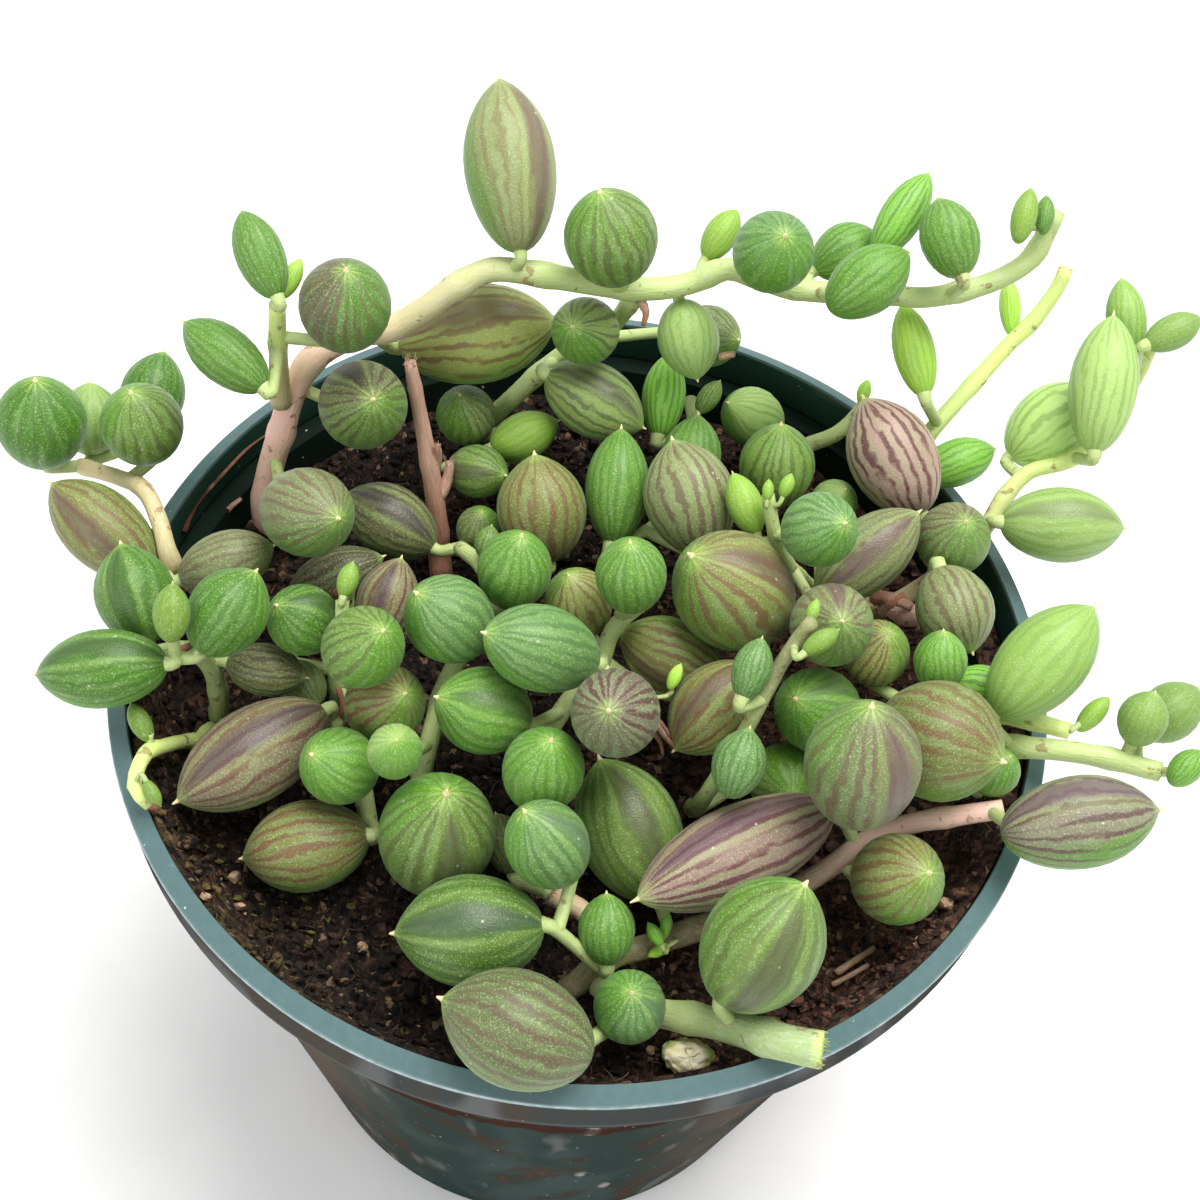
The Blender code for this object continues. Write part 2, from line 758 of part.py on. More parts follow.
def keep_outer_skin(thing):
    """Drops the sealed hollows and loose scraps that a union can leave beside the joined body."""
    shape = bmesh.new()
    shape.from_mesh(thing.data)
    unseen = set(shape.faces)
    islands = []
    while unseen:
        island = {unseen.pop()}
        front = list(island)
        while front:
            for side in front.pop().edges:
                for other in side.link_faces:
                    if other in unseen:
                        unseen.discard(other)
                        island.add(other)
                        front.append(other)
        islands.append(island)
    largest = max(islands, key=len)
    spare = [face for island in islands if island is not largest for face in island]
    bmesh.ops.delete(shape, geom=spare, context="FACES")
    shape.to_mesh(thing.data)
    shape.free()
    thing.data.shade_smooth()
    thing.data.set_sharp_from_angle(angle=math.radians(SHARP_ANGLE))


def add_leafy_stem(stem, places, stalks, material):
    """One stem with its side runs, its leaves and their stalks, fused into one body."""
    parts = new_collection(stem.name + "_parts")
    bodies = []
    for number, run in enumerate(stem.runs):
        route = rooted(run_route(run, STEM_STEP))
        radii = np.linspace(0.5 * run.wide * MM, 0.5 * run.thin * MM, len(route))
        bodies.append(tube(f"{stem.name}_run_{number}", route, radii, STEM_SIDES, parts))
    for number, (leaf, way) in enumerate(stalks):
        leaf_body(f"{stem.name}_leaf_{number}", leaf, places[leaf], parts)
        route = [way[0] + unit(way[0] - way[1]) * STALK_SINK] + way[1:]
        radii = np.linspace(STALK_RADIUS, SHOOT_RADIUS if len(route) > 3 else STALK_RADIUS, len(route))
        tube(f"{stem.name}_stalk_{number}", route, radii, STALK_SIDES, parts)
    base = bodies[0]
    parts.objects.unlink(base)
    bpy.context.scene.collection.objects.link(base)
    base.name = stem.name
    join_all(base, parts)
    keep_outer_skin(base)
    base.data.materials.clear()
    base.data.materials.append(material)


def turned(name, profile, sides, material):
    """A closed body turned round the Z axis from a profile of radius and height, from axis to axis."""
    east = np.array((1.0, 0.0, 0.0))
    north = np.array((0.0, 1.0, 0.0))
    up = np.array((0.0, 0.0, 1.0))
    rings = [
        [up * height] if radius == 0 else ring_about(up * height, east, north, radius, sides)
        for radius, height in profile
    ]
    shape = bmesh.new()
    skin_rings(shape, rings)
    thing = new_object(name, shape)
    thing.data.materials.append(material)
    return thing


def cut_away(thing, places, radii, low, high, sides):
    """Bores a straight upright hole through the thing at each place."""
    cutters = new_collection(thing.name + "_cutters")
    up = np.array((0.0, 0.0, 1.0))
    for number, (x, y) in enumerate(places):
        foot = np.array((x, y, 0.0))
        ends = [foot + up * low, foot + up * high]
        tube(f"{thing.name}_cutter_{number}", ends, [radii[number]] * 2, sides, cutters)
    cut = thing.modifiers.new("bores", "BOOLEAN")
    cut.operation = "DIFFERENCE"
    cut.operand_type = "COLLECTION"
    cut.collection = cutters
    apply_modifiers(thing)
    for cutter in list(cutters.objects):
        bpy.data.objects.remove(cutter)
    bpy.data.collections.remove(cutters)


def add_pot(material):
    shelf = RIM_HEIGHT - SKIRT_HEIGHT
    inner = RIM_RADIUS - LIP_WIDTH
    crest = RIM_HEIGHT + LIP_RISE
    profile = (
        (0, 0),
        (BASE_RADIUS - BASE_ROUND, 0),
        (BASE_RADIUS, BASE_ROUND),
        (BODY_TOP_RADIUS, shelf),
        (RIM_RADIUS - SKIRT_DRAFT, shelf),
        (RIM_RADIUS, RIM_HEIGHT - LIP_ROUND),
        (RIM_RADIUS - LIP_ROUND, RIM_HEIGHT),
        (inner + LIP_ROUND, crest),
        (inner, crest - LIP_ROUND),
        (inner, shelf + WALL),
        (wall_radius(shelf + WALL), shelf + WALL),
        (wall_radius(FLOOR), FLOOR),
        (0, FLOOR),
    )
    pot = turned("pot", profile, POT_SIDES, material)
    turns = [2 * math.pi * (hole + 0.5) / DRAIN_HOLES for hole in range(DRAIN_HOLES)]
    holes = [(DRAIN_CIRCLE * math.cos(turn), DRAIN_CIRCLE * math.sin(turn)) for turn in turns]
    cut_away(pot, holes, [DRAIN_RADIUS] * DRAIN_HOLES, -FLOOR, 2 * FLOOR, DRAIN_SIDES)
    pot.data.shade_smooth()
    pot.data.set_sharp_from_angle(angle=math.radians(SHARP_ANGLE))


def add_soil(roots, material):
    """Soil filling the pot, its top a little uneven, with a plain hole for each root."""
    top = RIM_HEIGHT - SOIL_BELOW_RIM
    edge = wall_radius(top) - SOIL_GAP
    profile = [(0, FLOOR + SOIL_GAP), (wall_radius(FLOOR) - SOIL_GAP, FLOOR + SOIL_GAP), (edge, top)]
    profile += [(edge * ring / SOIL_RINGS, top) for ring in range(SOIL_RINGS - 1, 0, -1)] + [(0, top)]
    soil = turned("soil", profile, SOIL_SPOKES, material)
    for vertex in soil.data.vertices:
        if vertex.co.z > 0.5 * top:
            vertex.co.z = soil_height(vertex.co.x, vertex.co.y)
    holes = [(root[0], root[1]) for root, _ in roots]
    sizes = [radius + HOLE_GAP for _, radius in roots]
    cut_away(soil, holes, sizes, top - ROOT_DEPTH - HOLE_GAP, top + ROOT_DEPTH, HOLE_SIDES)
    soil.data.shade_smooth()
    soil.data.set_sharp_from_angle(angle=math.radians(SHARP_ANGLE))


def add_perlite_lump(material):
    """A cream lump, wider than tall, dented all round, lying on the soil."""
    shape = bmesh.new()
    bmesh.ops.create_icosphere(shape, subdivisions=2, radius=0.5)
    place = seen(LUMP_ACROSS, LUMP_DOWN, LUMP_HIGH / 2 - SOIL_BELOW_RIM)
    place[2] = soil_height(place[0], place[1]) + SOIL_WAVE + LUMP_HIGH / 2
    for vertex in shape.verts:
        spot = np.array(vertex.co)
        dent = LUMP_DENT * (1 + np.prod(np.sin(spot * LUMP_DENTS_ACROSS + 1)))
        vertex.co = place + spot * (LUMP_WIDE, LUMP_LONG, LUMP_HIGH) * (1 - dent)
    lump = new_object("perlite_lump", shape)
    lump.data.materials.append(material)


def new_material(name, colour, roughness):
    material = bpy.data.materials.new(name)
    material.use_nodes = True
    shader = material.node_tree.nodes["Principled BSDF"]
    shader.inputs["Base Color"].default_value = (*colour, 1)
    shader.inputs["Roughness"].default_value = roughness
    shader.inputs["Metallic"].default_value = 0
    return material


def clear_scene():
    for thing in list(bpy.data.objects):
        bpy.data.objects.remove(thing)


def main():
    clear_scene()
    pot_plastic = new_material("pot_plastic", POT_COLOUR, 0.4)
    peat = new_material("peat", PEAT_COLOUR, 0.95)
    leaf_green = new_material("leaf_green", LEAF_COLOUR, 0.45)
    seedling_green = new_material("seedling_green", SEEDLING_COLOUR, 0.5)
    dry_wood = new_material("dry_wood", STALK_COLOUR, 0.8)
    perlite = new_material("perlite", PERLITE_COLOUR, 0.85)
    materials = {"dry_stalk": dry_wood, "seedling": seedling_green}
    places = settle(STEMS)
    solid = {}
    for stem in STEMS:
        balls = [leaf_balls(leaf, places[leaf]) for leaf in stem.leaves]
        solid[stem.name] = balls + [run_balls(run) for run in stem.runs]
    roots = []
    for stem in STEMS:
        others = [balls for name, group in solid.items() if name != stem.name for balls in group]
        stalks = grow_stalks(stem, places, tuple(np.concatenate(kind) for kind in zip(*others)))
        for _, way in stalks:
            points = np.array(smooth_route(way, DENSE_STEP))
            solid[stem.name].append((points, np.full(len(points), SHOOT_RADIUS)))
        add_leafy_stem(stem, places, stalks, materials.get(stem.name, leaf_green))
        for run in stem.runs:
            start = run_route(run, STEM_STEP)[0]
            if start[2] < RIM_HEIGHT - SOIL_BELOW_RIM:
                roots.append((start, 0.5 * run.wide * MM))
    add_pot(pot_plastic)
    add_soil(roots, peat)
    add_perlite_lump(perlite)


if __name__ == "__main__":
    main()
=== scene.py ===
"""Potted string of watermelons, dressed: striped succulent leaves on trailing stems in a nursery pot.

Sizes are in metres. The plant is laid out as seen from one eye point: each leaf and each bend of
a stem has its place across and down in that view, and its lift over the pot's rim.
"""

import math
import random
from collections import namedtuple

import bpy
import numpy as np
from mathutils import Matrix, Vector


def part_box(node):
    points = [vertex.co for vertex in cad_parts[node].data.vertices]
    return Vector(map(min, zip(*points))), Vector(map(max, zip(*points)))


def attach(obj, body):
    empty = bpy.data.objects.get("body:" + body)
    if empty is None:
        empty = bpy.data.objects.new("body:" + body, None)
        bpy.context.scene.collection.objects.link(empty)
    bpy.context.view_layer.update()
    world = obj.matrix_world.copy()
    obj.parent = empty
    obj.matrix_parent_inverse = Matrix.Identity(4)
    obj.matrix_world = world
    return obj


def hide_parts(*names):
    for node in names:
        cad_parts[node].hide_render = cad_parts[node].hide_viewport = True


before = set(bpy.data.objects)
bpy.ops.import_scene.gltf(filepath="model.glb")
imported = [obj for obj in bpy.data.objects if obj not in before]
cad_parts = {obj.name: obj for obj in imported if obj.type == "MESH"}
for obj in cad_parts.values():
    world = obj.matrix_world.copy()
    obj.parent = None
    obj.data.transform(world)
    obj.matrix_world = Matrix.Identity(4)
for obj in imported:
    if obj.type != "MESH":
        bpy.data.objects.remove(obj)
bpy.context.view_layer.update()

MM = 0.001
UP = np.array((0.0, 0.0, 1.0))

# Pot: a thin tapered wall under a set-out skirt, whose lip slopes down to its outer edge
RIM_HEIGHT = 0.086
RIM_RADIUS = 0.050
LIP_WIDTH = 0.0020
LIP_RISE = 0.0008
LIP_ROUND = 0.0003
SKIRT_HEIGHT = 0.0062
SKIRT_DRAFT = 0.0003
BODY_TOP_RADIUS = 0.0470
BASE_RADIUS = 0.034
BASE_ROUND = 0.0015
WALL = 0.0012
FLOOR = 0.0016
SHELF = RIM_HEIGHT - SKIRT_HEIGHT
INSIDE_SHELF = SHELF + WALL
INNER_RADIUS = RIM_RADIUS - LIP_WIDTH
SKIRT_FOLD = 0.0002
BODY_STEPS = 12
POT_SIDES = 160
DRAIN_HOLES = 6
DRAIN_RADIUS = 0.0032
DRAIN_CIRCLE = 0.024

# Soil
SOIL_BELOW_RIM = 0.009
SOIL_TOP = RIM_HEIGHT - SOIL_BELOW_RIM
SOIL_GAP = 0.0004
SOIL_WAVE = 0.0004
SOIL_WAVES = ((310, 0), (0, 270), (190, 190))
SOIL_SIDES = 560
SOIL_RINGS = 130
ROOT_DEPTH = 0.0045
ROOT_RISE = 0.0010

# The bank of peat over the pot's inside shelf: from the left, through the front, to the right
BANK_FOOT = 0.0425
BANK_TOP = RIM_HEIGHT - 0.0003
BANK_START = math.radians(170)
BANK_TURN = math.radians(208)
BANK_FADE = math.radians(22)
BANK_COLUMNS = 22
BANK_STEPS = 300
BANK_SINK = 0.0005
BANK_LEAST = 0.00005
BANK_CALM = 0.85
OVER_SHELF = 0.0001

# The cream lump: its place in the view, its size, and how far round it the bank is kept off
LUMP_ACROSS = 687
LUMP_DOWN = 1058
LUMP_SIZE = (0.0053, 0.0038, 0.0036)
LUMP_MIDDLE = [sum(ends) / 2 for ends in zip(*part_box("perlite_lump"))]
LUMP_CLEAR = 0.0036
LUMP_SLOPE = 0.0040

# Loose bits on the soil: how many, and the least and the most that each is across or long
CRUMBS = 3800
SMALL_CRUMB = (0.00025, 0.0007)
LARGE_CRUMB = (0.0007, 0.0015)
SMALL_CRUMBS = 0.94
GRITS = 60
GRIT = (0.00015, 0.0004)
MOSS = (0.00015, 0.0005)
FIBRES = 2000
FIBRE = (0.0007, 0.0020)
FIBRE_LIFT = (0.0001, 0.0007)
# Pale grits: across, down and size in millimetres. Patches of moss: across, down, spread, how many bits
PALE_GRITS = (
    (934, 931, 1.0), (906, 968, 0.8), (868, 903, 0.8), (241, 913, 0.7), (363, 949, 0.8), (235, 879, 0.9),
    (920, 905, 0.6), (214, 934, 0.6), (556, 1046, 0.7), (566, 1002, 0.6), (650, 1052, 0.6),
)
MOSS_PATCHES = (
    (262, 905, 46, 60), (205, 860, 30, 30), (395, 1004, 5, 6), (404, 1040, 7, 9), (300, 955, 40, 14),
)

# The view that the plant is laid out in
EYE = np.array((0.0, -0.108, RIM_HEIGHT + 0.160))
AIM = np.array((0.001, 0.007, RIM_HEIGHT))
ROLL = math.radians(7.2)
FRAME = 1200
FOCAL = 1.5 * FRAME

# Leaves and stems: a stem is a little thicker at its joints, a stalk at its leaf
LONG = 1.25
TAIL_FULLNESS = 0.52
TIP_FULLNESS = 0.74
LEAF_SIDES = 28
LEAF_RINGS = 22
SMALL_LEAF = 60
SMALL_LEAF_SIDES = 20
SMALL_LEAF_RINGS = 16
# The little point at a leaf's tip: how far along each ring is, and its radius as a share of the widest
NUB = ((0.990, 0.088), (1.001, 0.050), (1.016, 0.034), (1.032, 0.022))
NUB_END = 1.040
CLEAR_LIFT = 10
SAME_POINT = 1e-6
STEM_STEP = 0.0011
STEM_ROUNDNESS = 5
STALK_ROUNDNESS = 3
STALK_RADIUS = 0.00062
SHOOT_RADIUS = 0.0009
STALK_LEAD = 0.0007
STALK_STEP = 0.00045
STALK_SINK = 0.0008
STALK_SWELL = 0.55
STALK_FOOT = 1.15
FULL_STALK_LEAF = 40
JOINT_SPACING = 0.0095
JOINT_SWELL = 0.16
JOINT_LENGTH = 0.0011
TONE_TURN = 0.3

# Which runs end in a torn cut, and the colour of its fibres
FRAYED = {
    "leafy_stem_front": ((1, "hair"), (2, "cream")),
    "leafy_stem_right_middle": ((1, "cream"),),
    "dry_stalk": ((0, "dry"), (1, "dry"), (2, "dry")),
}
FRAY_RADII = (0.00009, 0.00006, 0.00003)
FRAY_SINK = 0.0003
FRAY_BEND = 0.0001

# How the leaves are settled clear of one another and how their stalks are led past them
CLEAR = 0.0004
SWAY = 0.0006
SHARE = 0.45
DEPTH_SHARE = 0.6
BALL_SHARES = (0.12, 0.3, 0.5, 0.7, 0.88)
BALLS = len(BALL_SHARES)
SETTLE_ROUNDS = 140
DENSE_STEP = 0.0012
JOINTS_TRIED = 14
SWINGS = (0.0, 0.25, 0.5)
SWING_SIDES = 6
CROSSING_COST = 30

# A leaf is its middle, its tip, how wide it looks, its lift, its tone, where on it the clear window
# is seen (from its middle), how far its tip nods towards the eye, and its light: painted light and shade,
# a factor on its skin colour in its tone, higher where the leaf is lit and lower where it lies in shade.
Leaf = namedtuple(
    "Leaf", "across down tip_across tip_down wide lift tone window nod light", defaults=("green", None, 0, 1)
)
# A run of stem is how thick both ends are, in millimetres, its bends (across, down, and lift in
# millimetres), the tones of its foot and its head, and where along it the one turns into the other.
Run = namedtuple("Run", "wide thin route foot head turn", defaults=("sap", "sap", 0.5))
Stem = namedtuple("Stem", "name runs leaves")


def stem_of(name, *parts):
    """A stem with these runs and leaves."""
    runs, leaves = ([part for part in parts if isinstance(part, kind)] for kind in (Run, Leaf))
    return Stem(name, runs, leaves)


# Leaf tones: skin, stripe and window colours as seen on a screen, how strong the stripes are, and how
# much of the brighter green shows on the side away from the window
Tone = namedtuple("Tone", "skin stripe window stripes under", defaults=(0.85,))
LEAF_TONES = {
    "bright": Tone((96, 144, 46), (66, 112, 34), (80, 102, 60), 0.6),
    "deep": Tone((68, 118, 20), (46, 88, 16), (60, 82, 44), 0.55),
    "lit": Tone((136, 174, 80), (110, 146, 60), (116, 134, 84), 0.5),
    "green": Tone((98, 132, 50), (78, 92, 38), (84, 84, 62), 0.75),
    "fresh": Tone((82, 122, 34), (62, 88, 30), (64, 80, 64), 0.6),
    "blue": Tone((96, 136, 70), (62, 102, 48), (90, 112, 84), 0.65),
    "striped": Tone((122, 132, 66), (110, 76, 52), (98, 80, 68), 0.85, 0.7),
    "grey": Tone((112, 122, 78), (100, 76, 62), (102, 78, 80), 0.8, 0.6),
    "dusk": Tone((100, 114, 68), (92, 68, 58), (92, 72, 70), 0.75, 0.6),
    "muted": Tone((138, 146, 96), (116, 106, 70), (110, 90, 84), 0.6),
    "purple": Tone((130, 120, 92), (100, 62, 56), (78, 66, 68), 0.9, 0.5),
    "rosy": Tone((146, 122, 112), (98, 56, 60), (88, 66, 76), 0.9, 0.35),
    "plum": Tone((110, 104, 86), (80, 44, 46), (80, 66, 70), 1.0, 0.15),
    "heather": Tone((134, 128, 108), (92, 66, 66), (104, 88, 92), 0.85, 1.0),
    "dark": Tone((90, 94, 56), (68, 50, 42), (72, 66, 66), 0.8, 0.6),
    "pale": Tone((146, 176, 98), (108, 144, 64), (112, 124, 84), 0.5),
    "young": Tone((140, 180, 60), (108, 150, 44), (120, 140, 70), 0.35),
    "dull": Tone((102, 120, 62), (78, 84, 48), (86, 88, 68), 0.7),
}
STEM_TONES = {
    "sap": (184, 204, 126),
    "lime": (218, 238, 136),
    "pink": (246, 198, 182),
    "blush": (204, 188, 138),
    "olive": (144, 148, 94),
    "brown": (138, 126, 84),
    "cut": (154, 178, 116),
    "cream": (222, 190, 150),
    "hair": (196, 220, 120),
    "dry": (254, 206, 182),
    "dry_foot": (226, 160, 134),
    "root": (134, 84, 62),
}

STEMS = (
    stem_of(
        "leafy_stem_back_arch",
        Run(3.1, 2.2, (
            (274, 536, -10), (264, 512, -5), (270, 470, 0), (282, 430, 6), (292, 395, 10),
            (312, 360, 14), (350, 337, 16), (400, 325, 18), (440, 298, 21), (490, 270, 24),
            (560, 278, 23), (640, 289, 21), (690, 283, 21), (720, 268, 23), (796, 289, 21),
            (895, 295, 21), (941, 296, 21), (1013, 273, 23), (1037, 249, 25), (1056, 212, 29),
        ), "pink", "sap", 0.34),
        Run(2.3, 1.7, ((281, 402, 10), (278, 350, 19), (277, 305, 27)), "blush", "lime"),
        Run(2.4, 2.0, (
            (470, 440, -10), (502, 408, -1), (560, 356, 5), (600, 338, 9), (640, 291, 20.5),
        )),
        Leaf(225, 355, 184, 322, 58, 21.5, "bright", light=0.78),
        Leaf(261, 256, 243, 212, 50, 31, "bright", light=0.85),
        Leaf(290, 278, 300, 258, 20, 28, "young", light=1.5),
        Leaf(345, 305, 346, 271, 93, 27, "grey", light=0.5),
        Leaf(363, 405, 373, 400, 89, 14, "dark", (-6, -26), light=1.15),
        Leaf(304, 517, 334, 523, 90, 12, "grey"),
        Leaf(510, 166, 500, 79, 93, 32, "muted", (32, 6)),
        Leaf(608, 242, 597, 198, 95, 27, "green"),
        Leaf(482, 337, 561, 324, 99, 12, "striped", (-4, -22), light=1.5),
        Leaf(588, 331, 575, 327, 68, 14, "dull", light=1.85),
        Leaf(592, 405, 640, 432, 74, 6, "dull", (4, -16), light=1.9),
        Leaf(688, 334, 697, 374, 62, 16, "pale"),
        Leaf(708, 336, 738, 340, 62, 8, "dull"),
        Leaf(769, 256, 781, 240, 82, 26, "blue"),
        Leaf(722, 236, 738, 211, 34, 24, "young"),
        Leaf(850, 252, 880, 232, 56, 24, "bright", light=1.15),
        Leaf(905, 220, 932, 178, 44, 28, "bright", light=1.7),
        Leaf(868, 279, 908, 250, 66, 26, "bright"),
        Leaf(944, 238, 932, 198, 60, 28, "bright"),
        Leaf(1028, 218, 1035, 190, 26, 30, "young", light=0.75),
        Leaf(1050, 217, 1052, 197, 20, 29, "bright"),
    ),
    stem_of(
        "leafy_stem_left_edge",
        Run(2.2, 1.7, (
            (224, 606, -10), (195, 585, -2), (173, 565, 4), (165, 540, 6), (156, 512, 7),
            (144, 490, 7), (120, 478, 5), (80, 466, 3),
        ), "blush", "blush"),
        Leaf(47, 421, 41, 380, 89, 10, "deep", light=0.92),
        Leaf(92, 424, 92, 388, 62, 5, "pale"),
        Leaf(141, 427, 130, 396, 82, 11, "green"),
        Leaf(147, 395, 159, 352, 64, 6, "deep"),
        Leaf(108, 527, 57, 481, 78, 6, "striped", (-8, 6), light=0.8),
        Leaf(225, 557, 272, 540, 64, 7, "grey"),
    ),
    stem_of(
        "leafy_stem_left_rim",
        Run(2.3, 1.7, ((220, 722, -10), (219, 700, -5), (214, 675, 0), (200, 655, 5), (174, 648, 8))),
        Leaf(134, 596, 120, 546, 80, 9, "deep", (-16, -8)),
        Leaf(104, 665, 38, 671, 80, 9, "deep", (-6, -22)),
        Leaf(234, 610, 262, 570, 80, 12, "deep"),
        Leaf(178, 613, 179, 583, 38, 13, "young", light=0.52),
        Leaf(272, 668, 312, 676, 54, 0, "dark", light=1.2),
    ),
    stem_of(
        "leafy_stem_left_middle",
        Run(2.2, 1.7, (
            (338, 725, -10), (338, 690, -4), (340, 640, 1), (345, 600, 6), (347, 585, 12),
        )),
        Leaf(301, 614, 275, 600, 72, 8, "deep", (0, -20)),
        Leaf(308, 685, 322, 705, 48, -1, "dull"),
        Leaf(340, 575, 387, 553, 60, 0, "dark", light=0.75),
        Leaf(384, 598, 398, 555, 62, 2, "purple", (-8, 0)),
        Leaf(369, 649, 389, 633, 82, 10, "green"),
        Leaf(348, 580, 353, 562, 22, 15, "young", light=0.75),
        Leaf(385, 710, 405, 700, 80, 3, "striped"),
    ),
    stem_of(
        "leafy_stem_centre_left",
        Run(2.2, 1.7, (
            (418, 796, -10), (423, 768, -2), (431, 735, 2), (440, 700, 3), (456, 662, 5),
            (480, 630, 6), (492, 600, 6), (484, 568, 4), (460, 548, 1),
        )),
        Leaf(399, 756, 401, 745, 56, 8, "pale"),
        Leaf(445, 619, 413, 594, 88, 12, "blue"),
        Leaf(514, 575, 521, 542, 75, 13, "bright"),
        Leaf(487, 548, 491, 531, 26, 6, "green"),
        Leaf(479, 529, 482, 512, 46, 0, "dull"),
        Leaf(390, 525, 346, 498, 72, 2, "dark", (2, -14), light=1.2),
    ),
    stem_of(
        "leafy_stem_centre",
        Run(2.3, 1.7, (
            (532, 776, -10), (545, 740, -3), (568, 702, 1), (598, 668, 4), (620, 614, 8),
            (640, 604, 8),
        )),
        Run(2.0, 1.6, ((600, 664, 4), (640, 684, -1), (700, 694, -3), (745, 664, -1), (768, 635, 1))),
        Leaf(575, 606, 565, 579, 68, 8, "striped", light=1.3),
        Leaf(544, 769, 552, 740, 83, 8, "bright"),
        Leaf(488, 713, 443, 700, 88, 10, "bright", (6, -12)),
        Leaf(537, 653, 482, 638, 88, 14, "blue", None, 40),
        Leaf(637, 574, 636, 542, 72, 14, "bright"),
        Leaf(613, 716, 606, 714, 90, 15, "plum"),
        Leaf(667, 660, 617, 637, 76, 3, "striped", (-20, 18), light=1.3),
        Leaf(731, 596, 690, 562, 118, 10, "striped", (28, -26)),
        Leaf(712, 703, 673, 744, 84, 4, "striped", (-16, -12)),
        Leaf(680, 680, 686, 667, 14, 6, "young", light=1.8),
    ),
    stem_of(
        "leafy_stem_front_left",
        Run(2.3, 1.7, (
            (372, 842, -10), (368, 820, -6), (362, 790, -4), (352, 760, -3), (340, 730, -1),
        )),
        Leaf(256, 750, 182, 795, 95, 0, "purple", (-6, -18), 30, light=0.8),
        Leaf(312, 846, 249, 858, 92, -3, "striped", light=0.78),
        Leaf(341, 769, 314, 758, 78, 4, "bright"),
        Leaf(431, 834, 440, 794, 118, 2, "green", (14, 12), light=0.8),
    ),
    stem_of(
        "leafy_stem_front",
        Run(2.6, 2.0, (
            (568, 996, -10), (580, 980, -6), (608, 958, -5), (661, 942, -5), (715, 921, -5),
            (780, 895, -4), (823, 872, -3), (892, 829, 0), (1003, 809, 3),
        ), "brown", "pink", 0.7),
        Run(2.6, 3.5, (
            (598, 982, -6.5), (640, 1008, -5.5), (700, 1020, -3), (745, 1031, 0.6),
            (775, 1040, 3.2), (800, 1046, 3.8), (822, 1050, 4.2),
        ), "sap", "cut"),
        Run(2.0, 2.2, ((608, 950, -5), (586, 914, -4), (551, 894, -3)), "sap", "cream"),
        Leaf(634, 832, 605, 762, 106, 5, "green", (16, -6)),
        Leaf(542, 848, 520, 816, 84, 6, "blue", (22, -18)),
        Leaf(470, 924, 395, 927, 112, 1, "fresh", (4, -12), light=0.8),
        Leaf(518, 1022, 443, 992, 118, 1, "dusk", light=0.82),
        Leaf(609, 929, 609, 893, 58, 2, "bright"),
        Leaf(630, 1006, 632, 992, 73, 0, "blue", (28, 4)),
        Leaf(740, 858, 644, 903, 94, 5, "rosy", (-8, -30), 60),
        Leaf(765, 950, 806, 892, 122, 1, "green", (16, 14), light=0.92),
        Leaf(894, 874, 925, 868, 92, 2, "striped"),
        Leaf(869, 764, 878, 708, 118, 11, "grey", (36, 14), light=0.85),
        Leaf(1080, 822, 1159, 810, 94, 8, "heather", (4, -36), light=0.9),
        Leaf(500, 845, 490, 815, 46, -4, "dull"),
        Leaf(664, 925, 667, 912, 12, -1, "bright", light=2.5),
        Leaf(656, 933, 649, 921, 14, -1, "bright", light=2.5),
        Leaf(659, 950, 648, 956, 12, -3, "young", light=2.4),
    ),
    stem_of(
        "leafy_stem_young_shoot",
        Run(1.8, 1.4, (
            (690, 815, -10), (701, 802, -3), (728, 760, 5), (747, 728, 9), (762, 700, 12),
            (780, 665, 15), (800, 636, 18), (812, 622, 20),
        ), "sap", "olive", 0.7),
        Leaf(812, 617, 816, 605, 13, 20, "young"),
        Leaf(818, 636, 836, 624, 22, 19, "young", light=0.62),
        Leaf(758, 671, 768, 640, 40, 15, "blue"),
        Leaf(739, 768, 750, 733, 54, 11, "blue"),
        Leaf(790, 785, 796, 802, 76, 0, "green", (0, 18)),
        Leaf(822, 708, 800, 697, 86, 6, "bright", (12, -22)),
    ),
    stem_of(
        "leafy_stem_right_bud",
        Run(1.9, 1.4, (
            (830, 600, -10), (812, 588, -3), (787, 562, 8), (775, 535, 12), (769, 505, 15),
            (768, 495, 16),
        )),
        Leaf(745, 507, 733, 476, 36, 13, "young"),
        Leaf(768, 492, 769, 481, 12, 17, "young"),
        Leaf(786, 486, 791, 474, 15, 17, "young"),
        Leaf(815, 533, 840, 527, 76, 13, "blue"),
        Leaf(865, 550, 915, 508, 72, 10, "grey", (2, -2), light=1.3),
        Leaf(826, 623, 836, 620, 84, 13, "grey", (6, -26)),
        Leaf(838, 500, 850, 486, 48, 3, "pale"),
    ),
    stem_of(
        "leafy_stem_back_middle",
        Run(2.2, 1.7, ((560, 560, -10), (545, 540, -4), (530, 470, -2), (510, 430, -2))),
        Leaf(471, 416, 465, 396, 60, 3, "dull", light=1.2),
        Leaf(522, 440, 556, 425, 48, 2, "young"),
        Leaf(473, 472, 500, 476, 54, 2, "green", (-14, 0)),
        Leaf(547, 509, 540, 455, 90, 5, "striped"),
    ),
    stem_of(
        "leafy_stem_back_right",
        Run(2.2, 1.7, (
            (700, 540, -10), (705, 520, -5), (715, 480, -2), (700, 440, 0), (690, 400, 0),
        )),
        Leaf(662, 397, 667, 355, 44, 6, "bright", light=2.4),
        Leaf(618, 484, 622, 426, 64, 7, "bright"),
        Leaf(684, 498, 667, 441, 92, 8, "grey", light=1.35),
        Leaf(690, 455, 697, 414, 60, 4, "bright"),
        Leaf(709, 397, 720, 381, 22, 4, "green", light=1.3),
    ),
    stem_of(
        "leafy_stem_back_edge",
        Run(2.2, 1.7, (
            (778, 486, -10), (790, 465, -5), (809, 442, -2), (852, 428, 1), (866, 400, 3),
        ), "pink", "sap"),
        Leaf(752, 417, 728, 403, 60, 0, "pale", light=1.4),
        Leaf(777, 465, 781, 425, 76, 4, "green", light=1.4),
        Leaf(866, 394, 870, 382, 14, 4, "young", light=1.6),
